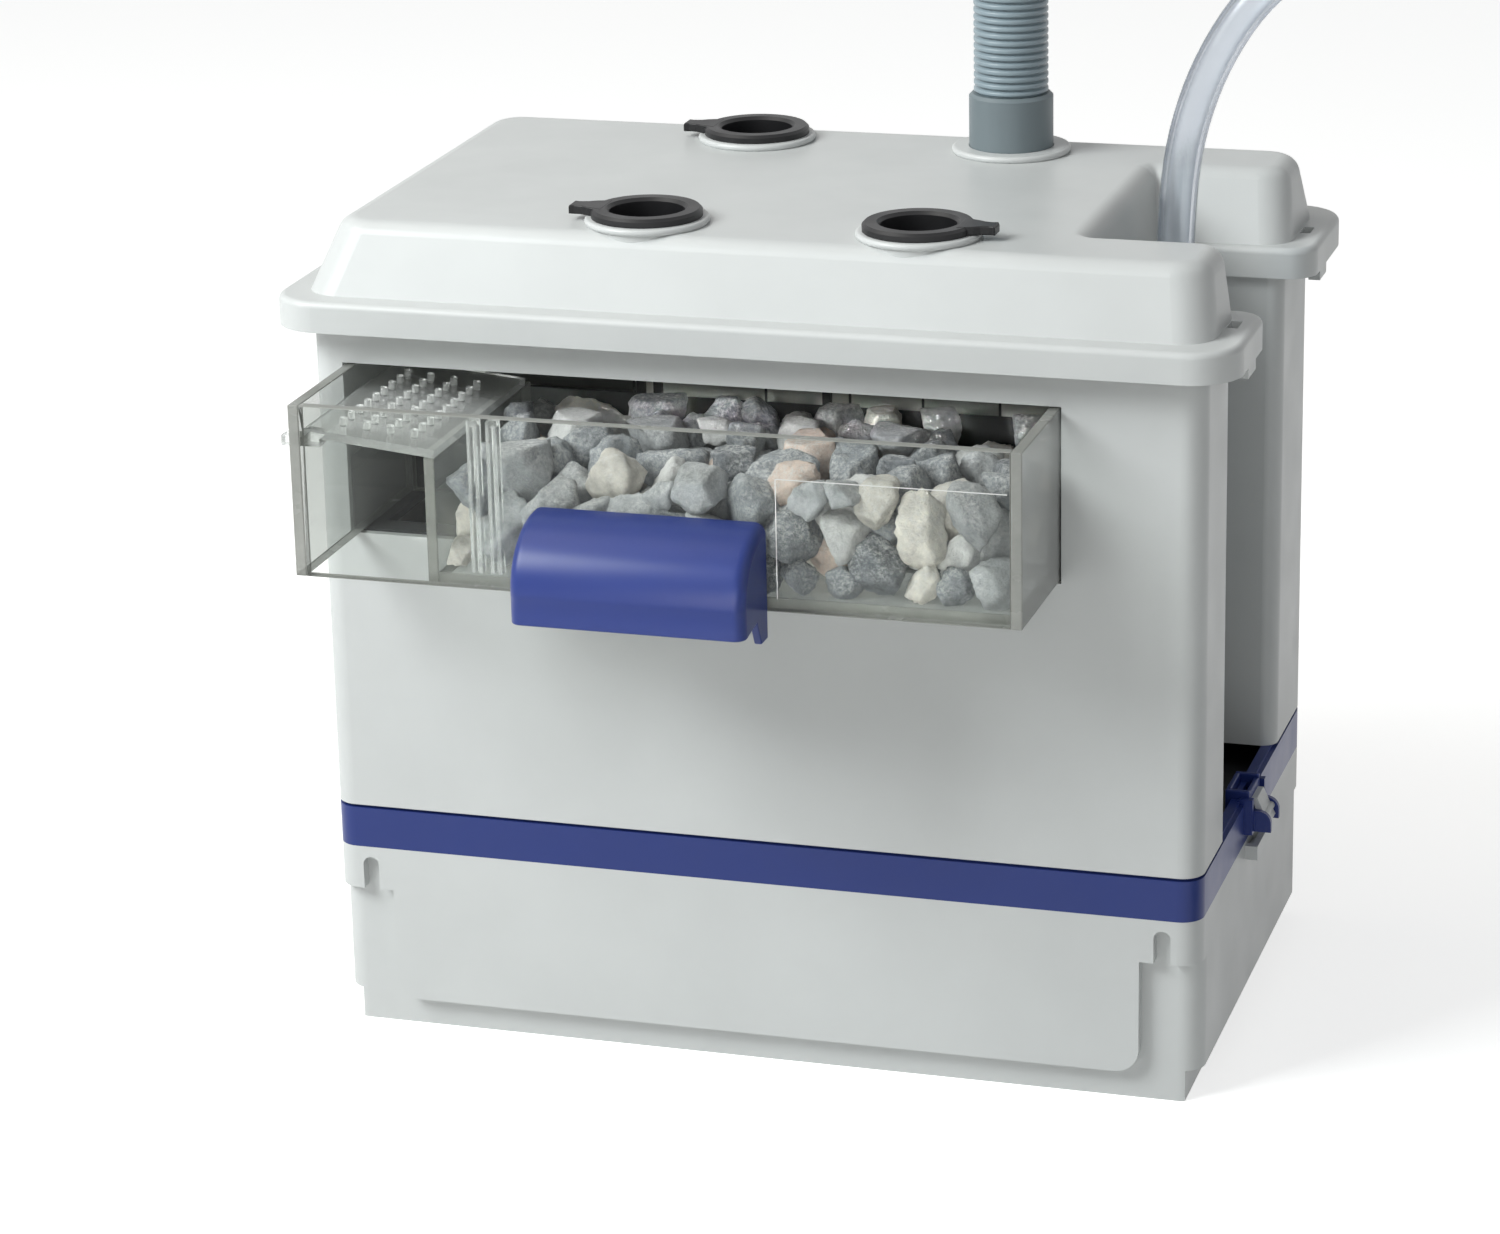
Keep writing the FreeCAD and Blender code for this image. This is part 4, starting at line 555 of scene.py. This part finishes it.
MATERIALS = {
    "grey_plastic": plastic("grey_plastic", (0.565, 0.58, 0.575), 0.38),
    "blue_plastic": plastic("blue_plastic", (0.0155, 0.032, 0.168), 0.33, grain=1500.0, gloss=0.35),
    "black_plastic": plastic("black_plastic", (0.012, 0.012, 0.013), 0.5),
    "dark_grey_plastic": plastic("dark_grey_plastic", (0.060, 0.062, 0.064), 0.5),
    "cream_plastic": plastic("cream_plastic", (0.80, 0.80, 0.77), 0.45),
    "black_rubber": plastic("black_rubber", (0.007, 0.007, 0.008), 0.42, depth=0.03, wear=0.03,
                            gloss=0.4),
    "hose_grey": plastic("hose_grey", (0.25, 0.315, 0.35), 0.32),
    "cuff_grey": plastic("cuff_grey", (0.155, 0.19, 0.205), 0.45),
    "clear_acrylic": clear("clear_acrylic", (0.90, 0.91, 0.90), PLASTIC_IOR, 0.02,
                           (0.93, 0.94, 0.93), clearness=0.76),
    "clear_pvc": clear("clear_pvc", (0.81, 0.835, 0.87), 1.50, 0.12, (0.80, 0.84, 0.87),
                       ripple=0.05, clearness=0.92, rim=(0.30, 0.34, 0.41)),
    "acrylic_sheet": sheet("acrylic_sheet", (0.95, 0.96, 0.95), 0.012, steepness=2.7),
    # The sheets' edges: frosted, and their dark grey is painted shade for the light lost inside
    # them.
    "acrylic_edge": sheet("acrylic_edge", (0.60, 0.60, 0.57), 0.86, (0.27, 0.275, 0.255),
                          gloss=0.12),
    "motor_metal": plastic("motor_metal", (0.02, 0.02, 0.022), 0.35),
    "steel": metal("steel", (0.6, 0.6, 0.6), 0.3),
    "white_plastic": plastic("white_plastic", (0.7, 0.7, 0.68), 0.4),
    "ball_rubber": plastic("ball_rubber", (0.02, 0.02, 0.02), 0.4),
    "marble_chips": marble("marble_chips"),
}


def dress_frame():
    """Gives every CAD node the material of its slot in the record, the cuff a darker grade."""
    for part in frame["record"]["subparts"]:
        node = frame["nodes"][part["node"]]
        grade = "cuff_grey" if part["node"] == "inlet_cuff" else part["material_slot"]
        node.data.materials.clear()
        node.data.materials.append(MATERIALS[grade])


dress_frame()
clear_hose.data.materials.append(MATERIALS["clear_pvc"])
corrugated_hose.data.materials.append(MATERIALS["hose_grey"])


# ---------------------------------------------------------------- marble chips

STONE_COUNT = 300
STONE_SEED = 12
STONE_SIZES = (0.0046, 0.0092)      # smallest and largest radius
STONE_SWELL = 1.1           # of its ball's radius, so that the stones touch
STONE_CUT = 0.35            # of its radius: a stone nearer to the top than this is left out
TINT_CHANGE = (0.86, 1.14)  # darkest and palest stone of a tint
# Each tint with how many stones in 22 have it.
STONE_TINTS = [((0.28, 0.30, 0.32), 6), ((0.45, 0.465, 0.48), 6), ((0.70, 0.70, 0.69), 5),
               ((0.78, 0.74, 0.67), 2), ((0.78, 0.63, 0.54), 2), ((0.18, 0.195, 0.215), 1)]


FALL_STEPS = 330
SETTLE_STEPS = 420          # the fall, and then pushing apart alone
FALL = 0.0005               # in one step
DROP_HEIGHT = 1.7           # of the box, how high the balls start
CLOSENESS = 0.93            # of two radii, how near two centres may come
PUSH = 0.34                 # of an overlap, how much one pass takes away


def settle(low, high, radii, generator):
    """Drops balls of these radii into a box: gravity, then pushing apart, many times."""
    count = len(radii)
    margin = radii[:, None]
    places = generator.uniform(0, 1, (count, 3)) * (high - low) + low
    places[:, 2] = low[2] + (high[2] - low[2]) * DROP_HEIGHT * generator.uniform(0.05, 1, count)
    reach = (radii[:, None] + radii[None, :]) * CLOSENESS
    for step in range(SETTLE_STEPS):
        places[:, 2] -= FALL if step < FALL_STEPS else 0.0
        for _ in range(2):
            gap = places[:, None, :] - places[None, :, :]
            distance = np.linalg.norm(gap, axis=2) + 1e-9
            push = np.clip(reach - distance, 0, None)
            np.fill_diagonal(push, 0)
            places += (gap / distance[:, :, None] * push[:, :, None]).sum(axis=1) * PUSH
            places[:, :2] = np.clip(places[:, :2], (low + margin)[:, :2], (high - margin)[:, :2])
            places[:, 2] = np.maximum(places[:, 2], low[2] + radii)
    return places


STONE_PLANES = 12
PLANE_DEPTHS = (0.58, 0.95)     # of the radius, from the middle to a broken face
EDGE_SHARPNESS = 44
STONE_REACH = 1.16              # of the radius, as far as a corner may go
ROUGHNESS = 0.105               # of the radius, height of the lumps on the broken faces


def stone_points(directions, generator):
    """Broken stone: a ball cut by random planes, its edges a little worn, its faces rough."""
    planes = generator.normal(size=(STONE_PLANES, 3))
    planes /= np.linalg.norm(planes, axis=1)[:, None]
    depths = generator.uniform(*PLANE_DEPTHS, STONE_PLANES)
    facing = np.clip(directions @ planes.T, 0.02, None)
    radius = ((depths / facing) ** -EDGE_SHARPNESS).sum(axis=1) ** (-1 / EDGE_SHARPNESS)
    stretch = np.array([1.12, generator.uniform(0.84, 1.0), generator.uniform(0.72, 0.95)])
    points = directions * np.clip(radius, 0, STONE_REACH)[:, None] * stretch
    turn = np.array(Euler(generator.uniform(0, math.tau, 3)).to_matrix())
    shift = generator.uniform(-9, 9, 3)
    lumps = np.array([noise.fractal(Vector(p * 2.2 + shift), 0.62, 2.2, 6) for p in points])
    return (points * (1 + ROUGHNESS * lumps)[:, None]) @ turn.T


# The axis across each sheet.
SHEETS = {"drawer_front_wall": 1, "drawer_back_wall": 1, "drawer_right_wall": 0,
          "drawer_left_wall": 0, "drawer_partition": 0, "drawer_floor": 2}
JOINED = 0.00002            # corners closer than this are one
FLAT = 0.5                  # degrees, faces that meet in less are one
SHARP = 40                  # degrees, edges that turn more are bevelled
SHEET_BEVEL = 0.0003
LARGE_FACE = 0.98           # a face that points along the axis by more than this is a large one


def copy_of(node):
    """Mesh piece with a node's own shape, its split corners joined and flat faces made whole."""
    mesh = frame["nodes"][node].data.copy()
    shape = bmesh.new()
    shape.from_mesh(mesh)
    bmesh.ops.remove_doubles(shape, verts=shape.verts, dist=JOINED)
    bmesh.ops.dissolve_limit(shape, angle_limit=math.radians(FLAT), verts=shape.verts,
                             edges=shape.edges)
    return mesh, shape


def make_sheets():
    """Walls of the drawer: polished sheets with frosted, slightly broken edges, their dark grey
    painted shade.
    """
    for node, thin in SHEETS.items():
        mesh, shape = copy_of(node)
        sharp = [edge for edge in shape.edges
                 if edge.calc_face_angle(0) > math.radians(SHARP)]
        bmesh.ops.bevel(shape, geom=sharp, offset=SHEET_BEVEL, segments=2, affect="EDGES",
                        profile=0.5, clamp_overlap=True)
        # The first material is for the two large polished faces, the second for all edges.
        for face in shape.faces:
            face.material_index = 0 if abs(face.normal[thin]) > LARGE_FACE else 1
            face.smooth = False
        mesh.materials.clear()
        shape.to_mesh(mesh)
        shape.free()
        for name in ("acrylic_sheet", "acrylic_edge"):
            mesh.materials.append(MATERIALS[name])
        piece = bpy.data.objects.new(node + "_sheet", mesh)
        bpy.context.collection.objects.link(piece)
        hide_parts(node)
        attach(piece, "drawer")


def make_stones():
    """Loose marble chips that fill the drawer's compartment."""
    generator = np.random.default_rng(STONE_SEED)
    low, high = (np.array(corner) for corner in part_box("granulate"))
    radii = generator.uniform(*STONE_SIZES, STONE_COUNT)
    places = settle(low, high, radii, generator)
    bpy.ops.mesh.primitive_ico_sphere_add(subdivisions=4, radius=1.0)
    ball = bpy.context.object
    directions = np.array([tuple(v.co) for v in ball.data.vertices])
    ball_faces = np.array([tuple(p.vertices) for p in ball.data.polygons])
    bpy.data.objects.remove(ball)
    tints = [tint for tint, share in STONE_TINTS for _ in range(share)]
    vertices, faces, colours = [], [], []
    for place, radius in zip(places, radii):
        if place[2] > high[2] - radius * STONE_CUT:
            continue
        points = stone_points(directions, generator) * radius * STONE_SWELL + place
        points = np.clip(points, low, high)
        faces.append(ball_faces + sum(map(len, vertices)))
        vertices.append(points)
        tint = np.array(tints[int(generator.integers(len(tints)))])
        tint = np.clip(tint * generator.uniform(*TINT_CHANGE), 0, 1)
        colours.append(np.tile([*tint, 1.0], (len(points), 1)))
    stones = add_mesh("marble_stones", np.concatenate(vertices), np.concatenate(faces).tolist())
    tint = stones.data.color_attributes.new("tint", "FLOAT_COLOR", "POINT")
    tint.data.foreach_set("color", np.concatenate(colours).ravel())
    stones.data.materials.append(MATERIALS["marble_chips"])
    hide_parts("granulate")
    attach(stones, "drawer")


make_sheets()
make_stones()


# ---------------------------------------------------------------- smaller moulded pieces

def dressed(piece, body, slot, bevel=0.0, angle=35):
    """Gives a piece its material, its body and, if asked, rounded edges."""
    piece.data.materials.append(MATERIALS[slot])
    if bevel:
        rounding = piece.modifiers.new("rounding", "BEVEL")
        rounding.width = bevel
        rounding.segments = 3
        rounding.limit_method = "ANGLE"
        rounding.angle_limit = math.radians(angle)
        rounding.harden_normals = True
    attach(piece, body)


def boxes(name, corners):
    """One mesh of separate boxes, each given by its lowest and highest corner."""
    vertices, faces = [], []
    for low, high in corners:
        first = len(vertices)
        vertices += [(x, y, z) for z in (low[2], high[2]) for y in (low[1], high[1])
                     for x in (low[0], high[0])]
        faces += [[first + n for n in face]
                  for face in ((0, 2, 3, 1), (4, 5, 7, 6), (0, 1, 5, 4), (2, 6, 7, 3),
                               (0, 4, 6, 2), (1, 3, 7, 5))]
    return add_mesh(name, vertices, faces, False)


def prism(name, outline, low, high):
    """Upright solid over an outline of (x, y) points."""
    count = len(outline)
    vertices = [(x, y, z) for z in (low, high) for x, y in outline]
    faces = [list(range(count))[::-1], list(range(count, 2 * count))]
    faces += [[n, (n + 1) % count, count + (n + 1) % count, count + n] for n in range(count)]
    return add_mesh(name, vertices, faces, False)


INLET_RING = 0.0178         # radius of the rounded ring round each inlet
INLET_RING_THICKNESS = 0.0011
INLET_RING_STEPS = 72       # round the inlet
INLET_RING_SIDES = 12       # round the ring's own section
STEM_TOP = 0.004            # under the lid's top, below a plug's flange and lug


def make_inlet_rings():
    """Rounded lips of the lid's raised seats, round the plugs and the inlet hose."""
    sides, steps = INLET_RING_SIDES, INLET_RING_STEPS
    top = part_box("lid")[1].z
    height = top - INLET_RING_THICKNESS
    for node in ("inlet_plug_a", "inlet_plug_b", "inlet_plug_c", "inlet_hose"):
        # A plug's lug isn't round, so its stem alone gives the seat's middle.
        round_part = [v.co for v in frame["nodes"][node].data.vertices
                      if v.co.z < top - STEM_TOP or node == "inlet_hose"]
        middle = sum(round_part, Vector()) / len(round_part)
        vertices, faces = [], []
        for i in range(steps):
            turn = math.tau * i / steps
            after = (i + 1) % steps
            for j in range(sides):
                lean = math.tau * j / sides
                beside = (j + 1) % sides
                reach = INLET_RING + INLET_RING_THICKNESS * math.cos(lean)
                vertices.append((middle.x + reach * math.cos(turn),
                                 middle.y + reach * math.sin(turn),
                                 height + INLET_RING_THICKNESS * math.sin(lean)))
                faces.append((i * sides + j, after * sides + j,
                              after * sides + beside, i * sides + beside))
        ring = add_mesh(node.replace("inlet_", "") + "_seat_ring", vertices, faces)
        dressed(ring, "lid_unit", "grey_plastic")


LUG_LENGTH = 0.007          # past the plug's flange
LUG_THICKNESS = 0.0026
LUG_PROUD = 0.0001          # above the CAD lug that the web covers
# Half of a web's outline: past the flange's edge, and out from the lug's middle line.
LUG_OUTLINE = [(-0.0042, 0.0062), (0.00084, 0.0044), (0.00266, 0.0033), (0.00525, 0.0028),
               (0.00686, 0.0032)]


def make_plug_lugs():
    """Webs that widen each plug's finger lug where it meets the ring."""
    bodies = {"inlet_plug_a": "plug_front_left", "inlet_plug_b": "plug_back_left",
              "inlet_plug_c": "plug_front_right"}
    for node, body in bodies.items():
        low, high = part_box(node)
        side = 1 if node.endswith("c") else -1
        tip = high.x if side > 0 else low.x
        edge = tip - side * LUG_LENGTH
        middle = (low.y + high.y) / 2
        outline = [(edge + side * along, middle - half) for along, half in LUG_OUTLINE]
        outline += [(edge + side * along, middle + half) for along, half in LUG_OUTLINE[::-1]]
        if side < 0:
            outline.reverse()
        web = prism(node + "_lug", outline, high.z - LUG_THICKNESS, high.z + LUG_PROUD)
        dressed(web, body, "black_rubber", bevel=0.0004)


# Lowest and highest corner of the pocket that the latch stands in.
LATCH_POCKET = ((0.1315, 0.0170, 0.0640), (0.1392, 0.0345, 0.0768))
LATCH_WALL = 0.0017
LATCH_OUTER_DROP = 0.001    # how much lower the outer wall ends


def make_latch_frame():
    """Open pocket of the collar that the latch stands in, at the mouth of the notch."""
    (left, front, low), (right, back, high) = LATCH_POCKET
    inner_front, inner_back = front + LATCH_WALL, back - LATCH_WALL
    pocket = boxes("latch_frame", [
        ((left, front, low), (right, inner_front, high)),
        ((left, inner_back, low), (right, back, high)),
        ((right - LATCH_WALL, inner_front, low), (right, inner_back, high - LATCH_OUTER_DROP)),
        ((left, inner_front, low), (left + LATCH_WALL, inner_back, high))])
    dressed(pocket, "casing", "blue_plastic", bevel=0.0005)


PANEL_JOINTS = (-0.0669, -0.0228, 0.0049, 0.0287, 0.0536)   # from left to right
PANEL_POSTS = (-0.0642, -0.0585, -0.0024)
JOINT_SIZE = (0.0004, 0.0002)       # half its width, and how far it stands out
POST_SIZE = (0.0014, 0.0016)
RIB_SINK = 0.0002                   # into the panel
RIB_TOP_GAP = 0.0005                # under the panel's top


def make_screen_ribs():
    """Joints and stiffening posts of the pale panel at the back of the drawer's space."""
    low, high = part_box("rear_screen")
    lines = [(x, *JOINT_SIZE) for x in PANEL_JOINTS] + [(x, *POST_SIZE) for x in PANEL_POSTS]
    ribs = boxes("screen_ribs", [
        ((x - half, low.y - depth, low.z), (x + half, low.y + RIB_SINK, high.z - RIB_TOP_GAP))
        for x, half, depth in lines])
    dressed(ribs, "casing", "dark_grey_plastic")


LEVEL_DROP = 0.0126         # from the sheet's top down to the level line
LEVEL_HALF = 0.00015        # half the lines' width
LEVEL_PROUD = 0.00004
LEVEL_ENDS = (0.003, 0.001, 0.004)      # beside the handle, at the sheet's side, at its foot


def make_level_mark():
    """Fine lines scribed on the front sheet: the stones' level, and one down beside the handle."""
    low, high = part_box("drawer_front_wall")
    beside_handle, beside_edge, over_foot = LEVEL_ENDS
    left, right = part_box("drawer_handle")[1].x + beside_handle, high.x - beside_edge
    level, front = high.z - LEVEL_DROP, low.y - LEVEL_PROUD
    lines = boxes("level_mark", [
        ((left, front, level - LEVEL_HALF), (right, low.y, level + LEVEL_HALF)),
        ((left - LEVEL_HALF, front, low.z + over_foot), (left + LEVEL_HALF, low.y, level))])
    dressed(lines, "drawer", "white_plastic")


HANDLE_ROUNDING = 0.0034    # radius of the upright edges at both ends
HANDLE_WALL = 0.0024
HANDLE_FLAT = 0.0085        # upright strip along the lower edge
HANDLE_FOOT = 0.0063        # how far the ends reach down below that edge
HANDLE_FULLNESS = 0.94      # 1 for an elliptic hood, less for a fuller one
HOOD_STEPS = 24             # down the curve of the hood
END_STEPS = 7               # round each end's edge
STRIP_BACK = 0.00012        # how far the strip stands behind the hood's foremost line
CHEEK_DEPTH = 0.0105        # from the sheet to where each end's plate turns down
CHEEK_RISE = 0.0016         # how high over the strip's lower edge it does so
CHEEK_TIP = 0.0062          # from the sheet to the front of the plate's lowest edge


def rounded_inset(reach):
    """How far the hood is drawn in at this distance from its end."""
    left = HANDLE_ROUNDING - reach
    return HANDLE_ROUNDING - math.sqrt(max(0.0, HANDLE_ROUNDING ** 2 - left ** 2))


def hood_profile(low, high, bottom):
    """Points (y, z, way out) down the curve of the hood and its upright strip."""
    deep, tall = high.y - low.y, high.z - bottom - HANDLE_FLAT
    profile = []
    for n in range(HOOD_STEPS + 1):
        lean = math.pi / 2 * n / HOOD_STEPS
        profile.append((high.y - deep * math.sin(lean) ** HANDLE_FULLNESS,
                        high.z - tall * (1 - math.cos(lean) ** HANDLE_FULLNESS),
                        Vector((-math.sin(lean) * tall, math.cos(lean) * deep)).normalized()))
    # The strip has a point just under the curve and one near its end, to keep both crisp.
    for height in (bottom + HANDLE_FLAT - 0.0002, bottom + 0.003, bottom):
        profile.append((low.y + STRIP_BACK, height, Vector((-1.0, 0.0))))
    return profile


def make_handle():
    """Cup pull: a hood that curves down from the sheet, with closed rounded ends."""
    low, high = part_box("drawer_handle")
    bottom = low.z + HANDLE_FOOT
    profile = hood_profile(low, high, bottom)
    ends = [HANDLE_ROUNDING * (1 - math.cos(math.pi / 2 * n / END_STEPS))
            for n in range(END_STEPS + 1)]
    stations = [(low.x + reach, rounded_inset(reach)) for reach in ends]
    stations += [(high.x - reach, rounded_inset(reach)) for reach in ends[::-1]]
    rings = [[(x, min(high.y, y - way.x * inset), z - way.y * inset) for y, z, way in profile]
             for x, inset in stations]
    width = len(profile)
    vertices = [point for ring in rings for point in ring]
    faces = [(i * width + j, i * width + j + 1, (i + 1) * width + j + 1, (i + 1) * width + j)
             for i in range(len(rings) - 1) for j in range(width - 1)]
    for ring, order in ((0, -1), (len(rings) - 1, 1)):
        x = rings[ring][0][0]
        foot = [(x, high.y - CHEEK_DEPTH, bottom + CHEEK_RISE), (x, high.y - CHEEK_TIP, low.z),
                (x, high.y, low.z)]
        first = len(vertices)
        vertices += foot
        loop = [ring * width + j for j in range(width)] + [first + n for n in range(3)]
        faces.append(loop[::order])
    hood = add_mesh("pull_handle", vertices, faces)
    hood.data.polygons[-1].use_smooth = hood.data.polygons[-2].use_smooth = False
    shell = hood.modifiers.new("wall", "SOLIDIFY")
    shell.thickness = HANDLE_WALL
    shell.offset = -1.0
    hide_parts("drawer_handle")
    dressed(hood, "drawer", "blue_plastic", bevel=0.0005, angle=50)


make_inlet_rings()
make_plug_lugs()
make_latch_frame()
make_screen_ribs()
make_level_mark()
make_handle()
